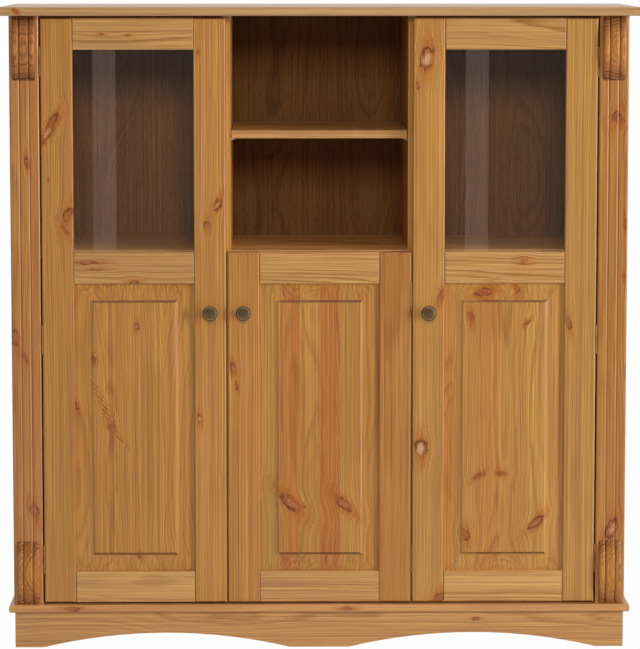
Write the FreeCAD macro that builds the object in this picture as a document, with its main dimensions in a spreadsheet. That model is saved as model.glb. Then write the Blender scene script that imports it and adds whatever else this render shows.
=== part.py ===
# A waxed-pine highboard: two glazed doors, a panelled centre door and an open niche.
# Millimetres. X runs to the right, Y to the back and Z up, from the floor under the middle of the top.
import FreeCAD, Part
import math
import os

doc = FreeCAD.newDocument("highboard")
sheet = doc.addObject("Spreadsheet::Sheet", "dims")
vector = FreeCAD.Vector

driving_dimensions = {
    # the whole cabinet, set by its top
    "overall_width": 1300,
    "overall_depth": 380,
    "overall_height": 1320,
    "top_thickness": 18,
    "top_side_overhang": 20,
    "top_front_overhang": 25,
    "top_arris": 3,
    # base board and plinth
    "plinth_height": 74,
    "plinth_thickness": 18,
    "plinth_front_setback": 10,
    "plinth_end_setback": 12,
    "arch_rise": 30,
    "end_foot_width": 58,
    "centre_foot_width": 124,
    "glue_block_width": 32,
    "glue_block_height": 60,
    "base_thickness": 16,
    "base_side_overhang": 10,
    "base_front_overhang": 13,
    "base_arris": 5,
    # carcass boards
    "side_thickness": 18,
    "partition_thickness": 16,
    "back_thickness": 4,
    "back_rabbet": 9,
    "pilaster_width": 60,
    "reed_count": 3,
    "reed_depth": 1.8,
    "reed_round": 4,
    # corbels
    "corbel_width": 46,
    "corbel_height": 131,
    "corbel_bulge": 13,
    "corbel_end_step": 2,
    "corbel_reed_depth": 3.5,
    "corbel_reed_round": 5,
    # shelves, by the height of their upper faces
    "niche_floor_height": 822,
    "niche_floor_thickness": 18,
    "niche_shelf_height": 1067,
    "upper_shelf_height": 822,
    "lower_shelf_height": 456,
    "centre_shelf_height": 440,
    "shelf_thickness": 16,
    "shelf_setback": 8,
    "shelf_end_play": 1,
    "shelf_arris": 1.5,
    # shelf pins
    "pin_shank": 5,
    "pin_depth": 6,
    "pin_reach": 9,
    "pin_plate_width": 8,
    "pin_plate_thickness": 3,
    "pin_inset": 24,
    "pin_fit": 0.05,
    # doors
    "door_thickness": 20,
    "door_gap": 3,
    "door_clearance": 2,
    "door_top_gap": 4,
    "door_bottom_gap": 3,
    "centre_door_drop": 2,
    "stile_width": 65,
    "rail_width": 65,
    "door_arris": 3.5,
    "joint_arris": 2.5,
    "groove_front": 8,
    "groove_width": 6,
    "groove_depth": 10,
    "tenon_play": 0.5,
    # raised panels
    "panel_play": 1,
    "tongue_fit": 0.1,
    "field_inset": 39,
    "field_setback": 2.5,
    "cove_width": 9,
    "cove_height": 3.5,
    # glazing
    "glass_thickness": 4,
    "glass_play": 1,
    "bead_width": 10,
    "bead_chamfer": 4,
    # knobs
    "knob_height": 696,
    "knob_diameter": 30,
    "knob_projection": 24,
    "knob_rose": 18,
    "knob_rose_edge": 1.7,
    "knob_neck": 11,
    "knob_neck_start": 7.2,
    "knob_neck_length": 2.9,
    "knob_rim_start": 17.6,
    "knob_rim_width": 2.4,
    "knob_rim_lip": 2.2,
    "screw_diameter": 4,
    "screw_fit": 0.05,
    "screw_hole_play": 0.4,
    "screw_reach": 13.2,
    "screw_head": 8,
    "screw_head_thickness": 2.2,
    # hinges
    "hinge_height": 60,
    "hinge_end_distance": 90,
    "middle_hinge_height": 640,
    "knuckle_diameter": 3.4,
    "hinge_pin_diameter": 2,
    "hinge_pin_fit": 0.05,
    "pin_head_diameter": 2.6,
    "pin_head_height": 0.8,
    "knuckle_gap": 0.2,
    "hinge_setback": 2.2,
    "axis_edge_distance": 0.5,
    "knuckle_air": 0.4,
    "leaf_thickness": 1,
    "leaf_start": 2.3,
    "leaf_width": 13,
    "mortise_play": 0.2,
    "crank_flange": 8,
    # catches
    "catch_height": 760,
    "catch_width": 14,
    "catch_depth": 26,
    "catch_length": 40,
    "strike_thickness": 1,
    "strike_width": 16,
    "strike_length": 36,
    "catch_air": 0.3,
    # how far a cutting tool runs past the piece
    "overrun": 1,
}
for row, (alias, number) in enumerate(driving_dimensions.items(), 1):
    sheet.set(f"A{row}", alias)
    sheet.set(f"B{row}", str(number))
    sheet.setAlias(f"B{row}", alias)
doc.recompute()

# Planes and places that several pieces share, as expressions on the sheet
top_underside = "(dims.overall_height - dims.top_thickness)"
base_top = "(dims.plinth_height + dims.base_thickness)"
top_half = "(dims.overall_width / 2)"
carcass_half = "(dims.overall_width / 2 - dims.top_side_overhang)"
side_inner = f"({carcass_half} - dims.side_thickness)"
carcass_back = "(dims.overall_depth / 2)"
back_inner = f"({carcass_back} - dims.back_thickness)"
top_front = "(-dims.overall_depth / 2)"
face = f"({top_front} + dims.top_front_overhang)"
door_back = f"({face} + dims.door_thickness)"
carcass_front = f"({door_back} + dims.door_clearance)"
base_front = f"({face} - dims.base_front_overhang)"
pilaster_inner = f"({carcass_half} - dims.pilaster_width)"
door_width = f"((2 * {pilaster_inner} - 4 * dims.door_gap) / 3)"
gap_middle = f"({door_width} / 2 + dims.door_gap / 2)"
partition_inner = f"({gap_middle} - dims.partition_thickness / 2)"
partition_outer = f"({gap_middle} + dims.partition_thickness / 2)"
door_bottom = f"({base_top} + dims.door_bottom_gap)"
tall_door_top = f"({top_underside} - dims.door_top_gap)"
centre_door_top = "(dims.niche_floor_height - dims.centre_door_drop)"
groove_back = "(dims.groove_front + dims.groove_width)"
plinth_half = f"({carcass_half} + dims.base_side_overhang - dims.plinth_end_setback)"
plinth_face = f"({base_front} + dims.plinth_front_setback)"
plinth_inner = f"({plinth_face} + dims.plinth_thickness)"

pieces = []
same_place = 1e-6
largest_round = 0.45  # as a share of the wall it is made on


def value(expression):
    return float(sheet.evalExpression(expression))


def add_piece(piece):
    pieces.append(piece)
    return piece


def block(name, x, y, z):
    solid = doc.addObject("Part::Box", name)
    for axis, side, (low, high) in zip("xyz", ("Length", "Width", "Height"), (x, y, z)):
        solid.setExpression(f"Placement.Base.{axis}", low)
        solid.setExpression(side, f"({high}) - ({low})")
    return solid


def rod(name, direction, start, radius, length):
    turns = {
        "x": FreeCAD.Rotation(vector(0, 1, 0), 90),
        "y": FreeCAD.Rotation(vector(1, 0, 0), -90),
        "z": FreeCAD.Rotation(),
    }
    solid = doc.addObject("Part::Cylinder", name)
    solid.Placement = FreeCAD.Placement(vector(), turns[direction])
    for axis, place in zip("xyz", start):
        solid.setExpression(f"Placement.Base.{axis}", place)
    solid.setExpression("Radius", radius)
    solid.setExpression("Height", length)
    return solid


def fuse(name, parts):
    if len(parts) == 1:
        return parts[0]
    whole = doc.addObject("Part::MultiFuse", name)
    whole.Shapes = parts
    return whole


def cut(name, base, tools):
    result = doc.addObject("Part::Cut", name)
    result.Base = base
    result.Tool = fuse(f"{name}_tools", tools)
    return result


def common(name, base, tool):
    result = doc.addObject("Part::Common", name)
    result.Base = base
    result.Tool = tool
    return result


def group(name, members):
    compound = doc.addObject("Part::Compound", name)
    compound.Links = members
    return compound


def rounded(name, base, rules):
    # each rule is a radius and a test that picks the edges it is used on
    doc.recompute()
    fillet = doc.addObject("Part::Fillet", name)
    fillet.Base = base
    chosen = []
    for index, edge in enumerate(base.Shape.Edges, 1):
        for radius, wanted in rules:
            if wanted(edge):
                chosen.append((index, radius, radius))
                break
    fillet.Edges = chosen
    return fillet


def on_plane(edge, axis, place):
    return all(abs(getattr(vertex.Point, axis) - place) < same_place for vertex in edge.Vertexes)


def limited(radius, wall):
    return min(value(radius), largest_round * value(wall))


def closed_sketch(body, role, name, start, steps):
    # a step is an end point for a line, or a middle and an end point for an arc
    plane = next(feature for feature in body.Origin.OriginFeatures if feature.Role == role)
    sketch = body.newObject("Sketcher::SketchObject", name)
    sketch.AttachmentSupport = (plane, [""])
    sketch.MapMode = "FlatFace"
    here = vector(*start, 0)
    for step in steps + [(start,)]:
        points = [vector(*point, 0) for point in step]
        if len(points) == 1:
            sketch.addGeometry(Part.LineSegment(here, points[0]), False)
        else:
            sketch.addGeometry(Part.Arc(here, *points), False)
        here = points[-1]
    return sketch


def padded(name, role, start, steps, offset, length):
    body = doc.addObject("PartDesign::Body", name)
    sketch = closed_sketch(body, role, f"{name}_profile", start, steps)
    sketch.setExpression("AttachmentOffset.Base.z", offset)
    pad = body.newObject("PartDesign::Pad", f"{name}_pad")
    pad.Profile = sketch
    pad.setExpression("Length", length)
    return body


def turned(name, start, steps, axis, angle):
    body = doc.addObject("PartDesign::Body", name)
    sketch = closed_sketch(body, "XY_Plane", f"{name}_profile", start, steps)
    turn = body.newObject("PartDesign::Revolution", f"{name}_turn")
    turn.Profile = sketch
    turn.ReferenceAxis = (sketch, [axis])
    turn.Angle = angle
    turn.Midplane = angle < 360
    return body


def place_at(piece, x, y, z):
    for axis, place in zip("xyz", (x, y, z)):
        piece.setExpression(f"Placement.Base.{axis}", place)
    return piece


def mirrored_span(sign, near, far):
    # the span from near to far on the right half, or its mirror image on the left
    return (near, far) if sign > 0 else (f"-({far})", f"-({near})")


halves = {"left": -1, "right": 1}

# Top panel with eased front and end arrises
top_blank = block(
    "top_blank",
    (f"-{top_half}", top_half),
    (top_front, carcass_back),
    (top_underside, "dims.overall_height"),
)
back_y = value(carcass_back)


def eased_round_board(edge):
    level = abs(edge.Vertexes[0].Z - edge.Vertexes[-1].Z) < same_place
    return level and not on_plane(edge, "y", back_y)


add_piece(rounded(
    "top_panel", top_blank, [(limited("dims.top_arris", "dims.top_thickness"), eased_round_board)]))

# Base panel: the cabinet floor, which stands out all round as a moulding
base_half = f"({carcass_half} + dims.base_side_overhang)"
base_blank = block(
    "base_blank",
    (f"-{base_half}", base_half),
    (base_front, carcass_back),
    ("dims.plinth_height", base_top),
)
add_piece(rounded(
    "base_panel", base_blank, [(limited("dims.base_arris", "dims.base_thickness"), eased_round_board)]))

# Plinth: an arched front board, side boards, a back rail and corner glue blocks
floor_to_base = ("0", "dims.plinth_height")
arch_span = f"({plinth_half} - dims.end_foot_width - dims.centre_foot_width / 2)"
arch_radius = f"({arch_span} * {arch_span} / 4 + dims.arch_rise * dims.arch_rise) / (2 * dims.arch_rise)"
arch_middle = f"(dims.centre_foot_width / 2 + {arch_span} / 2)"
plinth_blank = block(
    "plinth_blank", (f"-{plinth_half}", plinth_half), (plinth_face, plinth_inner), floor_to_base)
arches = [
    rod(
        f"{side}_arch", "y",
        (f"{sign} * {arch_middle}", f"{plinth_face} - dims.overrun", f"dims.arch_rise - ({arch_radius})"),
        arch_radius, "dims.plinth_thickness + 2 * dims.overrun",
    )
    for side, sign in halves.items()
]
add_piece(cut("plinth_front", plinth_blank, arches))

plinth_side_inner = f"({plinth_half} - dims.plinth_thickness)"
add_piece(group("plinth_sides", [
    block(
        f"{side}_plinth_side",
        mirrored_span(sign, plinth_side_inner, plinth_half),
        (plinth_inner, carcass_back),
        floor_to_base,
    )
    for side, sign in halves.items()
]))
rail_front = f"({carcass_back} - dims.plinth_thickness)"
add_piece(block(
    "plinth_back", (f"-{plinth_side_inner}", plinth_side_inner), (rail_front, carcass_back), floor_to_base))
block_inner = f"({plinth_side_inner} - dims.glue_block_width)"
block_heights = ("dims.plinth_height - dims.glue_block_height", "dims.plinth_height")
block_depths = {
    "front": (plinth_inner, f"{plinth_inner} + dims.glue_block_width"),
    "rear": (f"{rail_front} - dims.glue_block_width", rail_front),
}
add_piece(group("plinth_blocks", [
    block(
        f"{side}_{end}_block",
        mirrored_span(sign, block_inner, plinth_side_inner),
        depths,
        block_heights,
    )
    for side, sign in halves.items()
    for end, depths in block_depths.items()
]))

# Loose shelves, by bay: their ends lie between two walls and they rest on four pins each
carcass_heights = (base_top, top_underside)
shelf_front = f"({carcass_front} + dims.shelf_setback)"
shelf_back = f"({back_inner} - dims.shelf_end_play)"
bays = {
    "left": (f"-{side_inner}", f"-{partition_outer}"),
    "centre": (f"-{partition_inner}", partition_inner),
    "right": (partition_outer, side_inner),
}
bay_walls = {
    "left": ("left_side_panel", "left_partition"),
    "centre": ("left_partition", "right_partition"),
    "right": ("right_partition", "right_side_panel"),
}
shelves = {
    "niche_shelf": ("centre", "dims.niche_shelf_height"),
    "left_upper_shelf": ("left", "dims.upper_shelf_height"),
    "left_lower_shelf": ("left", "dims.lower_shelf_height"),
    "right_upper_shelf": ("right", "dims.upper_shelf_height"),
    "right_lower_shelf": ("right", "dims.lower_shelf_height"),
    "centre_shelf": ("centre", "dims.centre_shelf_height"),
}
pin_depths = {
    "front": f"({shelf_front} + dims.pin_inset)",
    "back": f"({shelf_back} - dims.pin_inset)",
}
shelf_front_y = value(shelf_front)
pins = []
pin_bores = {wall: [] for walls in bay_walls.values() for wall in walls}
for shelf, (bay, height) in shelves.items():
    low_wall, high_wall = bays[bay]
    underside = f"({height} - dims.shelf_thickness)"
    blank = block(
        f"{shelf}_blank",
        (f"{low_wall} + dims.shelf_end_play", f"{high_wall} - dims.shelf_end_play"),
        (shelf_front, shelf_back),
        (underside, height),
    )
    shelf_arris = limited("dims.shelf_arris", "dims.shelf_thickness")
    add_piece(rounded(shelf, blank, [(shelf_arris, lambda edge: on_plane(edge, "y", shelf_front_y))]))
    for wall, wall_place, inward in zip(bay_walls[bay], (low_wall, high_wall), (1, -1)):
        for end, depth in pin_depths.items():
            pin = f"{shelf}_{wall}_{end}_pin"
            shank_level = f"{underside} - dims.pin_shank / 2"
            embedded = f"{wall_place} - {inward} * dims.pin_depth"
            reach = (wall_place, f"{wall_place} + {inward} * dims.pin_reach")
            plate = block(
                f"{pin}_plate",
                reach if inward > 0 else reach[::-1],
                (f"{depth} - dims.pin_plate_width / 2", f"{depth} + dims.pin_plate_width / 2"),
                (f"{underside} - dims.pin_plate_thickness", underside),
            )
            shank_length = "dims.pin_depth + dims.pin_reach / 2"
            shank_start = embedded if inward > 0 else f"{wall_place} - dims.pin_reach / 2"
            shank = rod(
                f"{pin}_shank", "x", (shank_start, depth, shank_level), "dims.pin_shank / 2", shank_length)
            pins.append(fuse(pin, [plate, shank]))
            bore_start = embedded if inward > 0 else wall_place
            pin_bores[wall].append(rod(
                f"{pin}_bore", "x", (bore_start, depth, shank_level),
                "dims.pin_shank / 2 + dims.pin_fit", "dims.pin_depth",
            ))
add_piece(group("shelf_pins", pins))

# Doors: hinge side, left edge and top of each. A sign of 1 puts the hinges on the left edge.
doors = {
    "left": {
        "hinge_sign": 1,
        "left_edge": f"(-{pilaster_inner} + dims.door_gap)",
        "top": tall_door_top,
        "glazed": True,
    },
    "centre": {
        "hinge_sign": -1,
        "left_edge": f"(-{door_width} / 2)",
        "top": centre_door_top,
        "glazed": False,
    },
    "right": {
        "hinge_sign": -1,
        "left_edge": f"({pilaster_inner} - dims.door_gap - {door_width})",
        "top": tall_door_top,
        "glazed": True,
    },
}
for door in doors.values():
    door["right_edge"] = f"({door['left_edge']} + {door_width})"
    door["hinge_edge"] = door["left_edge"] if door["hinge_sign"] > 0 else door["right_edge"]
    door["lock_edge"] = door["right_edge"] if door["hinge_sign"] > 0 else door["left_edge"]
    door["hinge_levels"] = [
        f"({door_bottom} + dims.hinge_end_distance)",
        f"({door['top']} - dims.hinge_end_distance)",
    ]
    if door["glazed"]:
        door["hinge_levels"].insert(1, "dims.middle_hinge_height")


def beside_hinge(door, near, far):
    # a span measured from the door's hinge edge towards the middle of the door
    edge, sign = door["hinge_edge"], door["hinge_sign"]
    span = (f"{edge} + {sign} * ({near})", f"{edge} + {sign} * ({far})")
    return span if sign > 0 else span[::-1]


def behind_face(near, far):
    return (f"{face} + {near}", f"{face} + {far}")


# Hinges: a narrow knuckle in the gap beside the door, leaves let into the two edges
axis_place = "(-dims.axis_edge_distance)"
gap_centre = "(-dims.door_gap / 2)"
knuckle_radius = "(dims.knuckle_diameter / 2)"
knuckle_length = "(dims.hinge_height / 3 - dims.knuckle_gap)"
leaf_front = "(dims.hinge_setback + dims.leaf_start)"
leaf_back = f"({leaf_front} + dims.leaf_width)"
web_front = f"(dims.hinge_setback + {knuckle_radius} + 2 * dims.knuckle_gap)"
web_half = "(dims.leaf_thickness / 2)"
face_to_carcass = "(dims.door_thickness + dims.door_clearance)"
mortise_half = "(dims.hinge_height / 2 + dims.mortise_play)"


def hinge_axis_rod(name, door, level, low, radius, length):
    x = f"{door['hinge_edge']} + {door['hinge_sign']} * {axis_place}"
    return rod(name, "z", (x, f"{face} + dims.hinge_setback", f"{level} + ({low})"), radius, length)


def knuckle_lows(count_from_middle):
    third = "dims.hinge_height / 3"
    offsets = [0] if count_from_middle == 0 else [-1, 1]
    return [f"{offset} * {third} - {knuckle_length} / 2" for offset in offsets]


def hinge_leaf(name, door, level, lows, plates, tab):
    heights = (f"{level} - dims.hinge_height / 2", f"{level} + dims.hinge_height / 2")
    parts = []
    for index, (across, depth) in enumerate(plates):
        parts.append(block(
            f"{name}_plate_{index}", beside_hinge(door, *across), behind_face(*depth), heights))
    across, depth = tab
    for index, low in enumerate(lows):
        span = (f"{level} + ({low})", f"{level} + ({low}) + {knuckle_length}")
        parts.append(block(f"{name}_tab_{index}", beside_hinge(door, *across), behind_face(*depth), span))
        parts.append(hinge_axis_rod(
            f"{name}_knuckle_{index}", door, level, low, knuckle_radius, knuckle_length))
    bore = hinge_axis_rod(
        f"{name}_bore", door, level, "-dims.hinge_height / 2 - dims.overrun",
        "dims.hinge_pin_diameter / 2 + dims.hinge_pin_fit", "dims.hinge_height + 2 * dims.overrun",
    )
    return cut(name, fuse(f"{name}_blank", parts), [bore])


def door_leaf(name, door, level):
    across = ("0", "dims.leaf_thickness")
    plate = (across, (leaf_front, leaf_back))
    tab = (across, ("dims.hinge_setback", leaf_front))
    return hinge_leaf(name, door, level, knuckle_lows(0), [plate], tab)


def pilaster_leaf(name, door, level):
    seat = "(-dims.door_gap - dims.leaf_thickness)"
    plate = ((seat, "-dims.door_gap"), (leaf_front, leaf_back))
    tab = ((seat, axis_place), ("dims.hinge_setback", leaf_front))
    return hinge_leaf(name, door, level, knuckle_lows(1), [plate], tab)


def cranked_leaf(name, door, level):
    web_span = (f"{gap_centre} - {web_half}", f"{gap_centre} + {web_half}")
    flange_back = f"({face_to_carcass} + dims.leaf_thickness)"
    web = (web_span, (web_front, flange_back))
    flange = ((web_span[0], f"{gap_centre} + dims.crank_flange"), (face_to_carcass, flange_back))
    tab = (web_span, ("dims.hinge_setback", web_front))
    return hinge_leaf(name, door, level, knuckle_lows(1), [web, flange], tab)


def hinge_pin(name, door, level):
    shank = hinge_axis_rod(
        f"{name}_shank", door, level, "-dims.hinge_height / 2",
        "dims.hinge_pin_diameter / 2", "dims.hinge_height",
    )
    head = hinge_axis_rod(
        f"{name}_head", door, level, "dims.hinge_height / 2 - dims.knuckle_gap / 2",
        "dims.pin_head_diameter / 2", "dims.pin_head_height",
    )
    return fuse(name, [shank, head])


def leaf_mortise(name, door, level, across, depth):
    heights = (f"{level} - {mortise_half}", f"{level} + {mortise_half}")
    return block(name, beside_hinge(door, *across), behind_face(*depth), heights)


def knuckle_recess(name, door, level):
    # room in the door's edge for the knuckles and the head of the pin
    heights = (f"{level} - {mortise_half}", f"{level} + {mortise_half} + dims.pin_head_height")
    across = ("0", f"{axis_place} + {knuckle_radius} + dims.knuckle_air")
    return block(name, beside_hinge(door, *across), behind_face("0", leaf_front), heights)


pilaster_leaves, cranked_leaves, hinge_pins = [], [], []
pilaster_mortises = {"left": [], "right": []}
partition_mortises = []
mortise_back = f"({leaf_back} + dims.mortise_play)"
for name, door in doors.items():
    door["leaves"], door["mortises"] = [], []
    for index, level in enumerate(door["hinge_levels"]):
        hinge = f"{name}_hinge_{index}"
        door["leaves"].append(door_leaf(f"{hinge}_door_leaf", door, level))
        door["mortises"].append(leaf_mortise(
            f"{hinge}_door_mortise", door, level, ("0", "dims.leaf_thickness"), ("0", mortise_back)))
        door["mortises"].append(knuckle_recess(f"{hinge}_knuckle_recess", door, level))
        hinge_pins.append(hinge_pin(f"{hinge}_pin", door, level))
        if door["glazed"]:
            pilaster_leaves.append(pilaster_leaf(f"{hinge}_fixed_leaf", door, level))
            pilaster_mortises[name].append(leaf_mortise(
                f"{hinge}_pilaster_mortise", door, level,
                ("-dims.door_gap - dims.leaf_thickness", "-dims.door_gap"), ("0", mortise_back)))
        else:
            cranked_leaves.append(cranked_leaf(f"{hinge}_fixed_leaf", door, level))
            partition_mortises.append(leaf_mortise(
                f"{hinge}_partition_mortise", door, level,
                (f"{gap_centre} - {web_half}", f"{gap_centre} + dims.crank_flange"),
                (face_to_carcass, f"({face_to_carcass} + dims.leaf_thickness)")))
add_piece(group("side_hinge_leaves", pilaster_leaves))
add_piece(group("centre_hinge_leaves", cranked_leaves))
add_piece(group("hinge_pins", hinge_pins))

# Side panels with a rabbet for the back, and partitions
rabbet_inner = f"({side_inner} + dims.back_rabbet)"
for side, sign in halves.items():
    panel = f"{side}_side_panel"
    blank = block(
        f"{panel}_blank",
        mirrored_span(sign, side_inner, carcass_half),
        (carcass_front, carcass_back),
        carcass_heights,
    )
    rabbet = block(
        f"{panel}_rabbet",
        mirrored_span(sign, side_inner, rabbet_inner),
        (back_inner, carcass_back),
        carcass_heights,
    )
    add_piece(cut(panel, blank, [rabbet] + pin_bores[panel]))
    partition = f"{side}_partition"
    blank = block(
        f"{partition}_blank",
        mirrored_span(sign, partition_inner, partition_outer),
        (carcass_front, back_inner),
        carcass_heights,
    )
    mortises = partition_mortises if sign > 0 else []
    add_piece(cut(partition, blank, pin_bores[partition] + mortises))

# The niche floor is fixed between the partitions
add_piece(block(
    "niche_floor", bays["centre"], (carcass_front, back_inner),
    ("dims.niche_floor_height - dims.niche_floor_thickness", "dims.niche_floor_height"),
))

# Back panels: nailed to the partitions, the outer edges in the rabbets
back_spans = {
    "left": (f"-{rabbet_inner}", f"-{gap_middle}"),
    "centre": (f"-{gap_middle}", gap_middle),
    "right": (gap_middle, rabbet_inner),
}
for bay, span in back_spans.items():
    add_piece(block(f"{bay}_back_panel", span, (back_inner, carcass_back), carcass_heights))


def tangent_arc(width, rise):
    # the middle of an arc that leaves a level line and climbs by rise over width
    half_turn = math.atan(rise / width)
    radius = (width ** 2 + rise ** 2) / (2 * rise)
    return radius * math.sin(half_turn), radius * (1 - math.cos(half_turn))


def reeded_edge(quirks, crest, quirk, edge_round):
    # a row of flat reeds with rounded edges, from the first quirk to the last
    along, fall = tangent_arc(edge_round, quirk - crest)
    steps = []
    for left, right in zip(quirks, quirks[1:]):
        flat_start, flat_end = left + edge_round, right - edge_round
        steps.append(((flat_start - along, crest + fall), (flat_start, crest)))
        steps.append(((flat_end, crest),))
        steps.append(((flat_end + along, crest + fall), (right, quirk)))
    return steps


# Pilasters: flat reeds with round edges, their faces level with the doors
reed_count = int(value("dims.reed_count"))
pilaster_half = value("dims.pilaster_width / 2")
reed_pitch = 2 * pilaster_half / reed_count
quirks = [index * reed_pitch - pilaster_half for index in range(reed_count + 1)]
quirk_depth = value("dims.reed_depth")
reed_round = limited("dims.reed_round", "dims.pilaster_width / dims.reed_count")
pilaster_back = value("dims.door_thickness + dims.door_clearance")
pilaster_middle = f"({carcass_half} - dims.pilaster_width / 2)"
for side, sign in halves.items():
    profile = reeded_edge(quirks, 0, quirk_depth, reed_round)
    profile += [((pilaster_half, pilaster_back),), ((-pilaster_half, pilaster_back),)]
    shaft = padded(
        f"{side}_pilaster_shaft", "XY_Plane", (-pilaster_half, quirk_depth), profile,
        base_top, f"{top_underside} - {base_top}",
    )
    place_at(shaft, f"{sign} * {pilaster_middle}", face, "0")
    add_piece(cut(f"{side}_pilaster", shaft, pilaster_mortises[side]))

# Corbels: a barrel with the pilaster's reeds, turned about a level axis and cut off flat at its back
half_height = value("dims.corbel_height / 2")
bulge = value("dims.corbel_bulge")
swell = value("dims.corbel_bulge - dims.corbel_end_step")
barrel_radius = (half_height ** 2 + swell ** 2) / (2 * swell)
corbel_half = value("dims.corbel_width / 2")
corbel_quirks = [-corbel_half] + [quirk for quirk in quirks if abs(quirk) < corbel_half] + [corbel_half]
outer_reed = corbel_quirks[1] + corbel_half
corbel_round = min(value("dims.corbel_reed_round"), largest_round * outer_reed)
quirk_radius = barrel_radius - value("dims.corbel_reed_depth")
inner_radius = barrel_radius - bulge - value("dims.overrun")
angle_overrun = 4
barrel_angle = 2 * math.degrees(math.asin(half_height / barrel_radius)) + angle_overrun
corbel_levels = {
    "upper": f"({top_underside} - dims.corbel_height / 2)",
    "lower": f"({base_top} + dims.corbel_height / 2)",
}
for tier, level in corbel_levels.items():
    corbels = []
    for side, sign in halves.items():
        profile = reeded_edge(corbel_quirks, -barrel_radius, -quirk_radius, corbel_round)
        profile += [((corbel_half, -inner_radius),), ((-corbel_half, -inner_radius),)]
        barrel = turned(
            f"{side}_{tier}_barrel", (-corbel_half, -quirk_radius), profile, "H_Axis", barrel_angle)
        place_at(barrel, f"{sign} * {pilaster_middle}", f"{face} + {barrel_radius - bulge}", level)
        keep = block(
            f"{side}_{tier}_keep",
            mirrored_span(
                sign,
                f"{pilaster_middle} - dims.corbel_width / 2 - dims.overrun",
                f"{pilaster_middle} + dims.corbel_width / 2 + dims.overrun"),
            (f"{face} - dims.corbel_bulge - dims.overrun", face),
            (f"{level} - dims.corbel_height / 2", f"{level} + dims.corbel_height / 2"),
        )
        corbels.append(common(f"{side}_{tier}_corbel", barrel, keep))
    add_piece(group(f"{tier}_corbels", corbels))

# Door frames: grooved stiles and tenoned rails, with a rebate round the glass
face_y = value(face)
groove_depths = behind_face("dims.groove_front", groove_back)
rebate_depths = behind_face("dims.groove_front", "dims.door_thickness")
door_depths = (face, door_back)
door_arris = limited("dims.door_arris", "dims.groove_front")
joint_arris = limited("dims.joint_arris", "dims.groove_front")
knob_bore = "(dims.screw_diameter / 2 + dims.screw_hole_play / 2)"


def eased_front(name, blank, outer_edges):
    # the front edges on the door's outline get the larger round
    def on_outline(edge):
        return any(on_plane(edge, axis, place) for axis, place in outer_edges)

    def on_face(edge):
        return on_plane(edge, "y", face_y)

    rules = [
        (door_arris, lambda edge: on_face(edge) and on_outline(edge)),
        (joint_arris, on_face),
    ]
    return rounded(name, blank, rules)


def stile(name, outer, inner, door, holes):
    # outer and inner are the two edges of the stile, the groove runs along the inner one
    low, high = (outer, inner) if value(outer) < value(inner) else (inner, outer)
    groove_bottom = f"{inner} - dims.groove_depth" if inner == high else f"{inner} + dims.groove_depth"
    groove_span = (groove_bottom, inner) if inner == high else (inner, groove_bottom)
    heights = (door_bottom, door["top"])
    tools = [block(f"{name}_groove", groove_span, groove_depths, heights)]
    if door["glazed"]:
        rebate_heights = (
            f"{door['glass_low']} - dims.groove_depth",
            f"{door['glass_high']} + dims.groove_depth",
        )
        tools.append(block(f"{name}_rebate", groove_span, rebate_depths, rebate_heights))
    blank = cut(f"{name}_blank", block(f"{name}_board", (low, high), door_depths, heights), tools)
    outline = [("x", value(outer)), ("z", value(door_bottom)), ("z", value(door["top"]))]
    return cut(name, eased_front(f"{name}_eased", blank, outline), holes)


def rail(name, door, low, high, lower_edge, upper_edge):
    # each edge is plain, grooved for the panel or rebated for the glass
    left, right = door["opening_left"], door["opening_right"]
    tenon_reach = "(dims.groove_depth - dims.tenon_play)"
    board = block(f"{name}_board", (left, right), door_depths, (low, high))
    tenon_span = (f"{left} - {tenon_reach}", f"{right} + {tenon_reach}")
    tenon = block(f"{name}_tenon", tenon_span, groove_depths, (low, high))
    blank = fuse(f"{name}_joined", [board, tenon])
    edge_spans = {
        lower_edge: (low, f"{low} + dims.groove_depth"),
        upper_edge: (f"{high} - dims.groove_depth", high),
    }
    depths = {"grooved": groove_depths, "rebated": rebate_depths}
    tools = [
        block(f"{name}_{edge}", tenon_span, depths[edge], span)
        for edge, span in edge_spans.items() if edge in depths
    ]
    plain_edges = [("z", value(low))] if lower_edge == "plain" else []
    plain_edges += [("z", value(high))] if upper_edge == "plain" else []
    return eased_front(name, cut(f"{name}_blank", blank, tools), plain_edges)


def fielded_profile(low, high, opening_low, opening_high):
    # across the panel: tongue, sloping margin, cove and raised field, with a flat back
    tongue = value("dims.groove_front + dims.tongue_fit")
    back = value(f"{groove_back} - dims.tongue_fit")
    field = value("dims.field_setback")
    rise, width = value("dims.cove_height"), value("dims.cove_width")
    inset = value("dims.field_inset")
    foot = field + rise
    along, up = tangent_arc(width, rise)
    left_foot, right_foot = opening_low + inset - width, opening_high - inset + width
    return (low, back), [
        ((low, tongue),),
        ((opening_low, tongue),),
        ((left_foot, foot),),
        ((left_foot + along, foot - up), (left_foot + width, field)),
        ((right_foot - width, field),),
        ((right_foot - along, foot - up), (right_foot, foot)),
        ((opening_high, tongue),),
        ((high, tongue),),
        ((high, back),),
    ]


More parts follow.
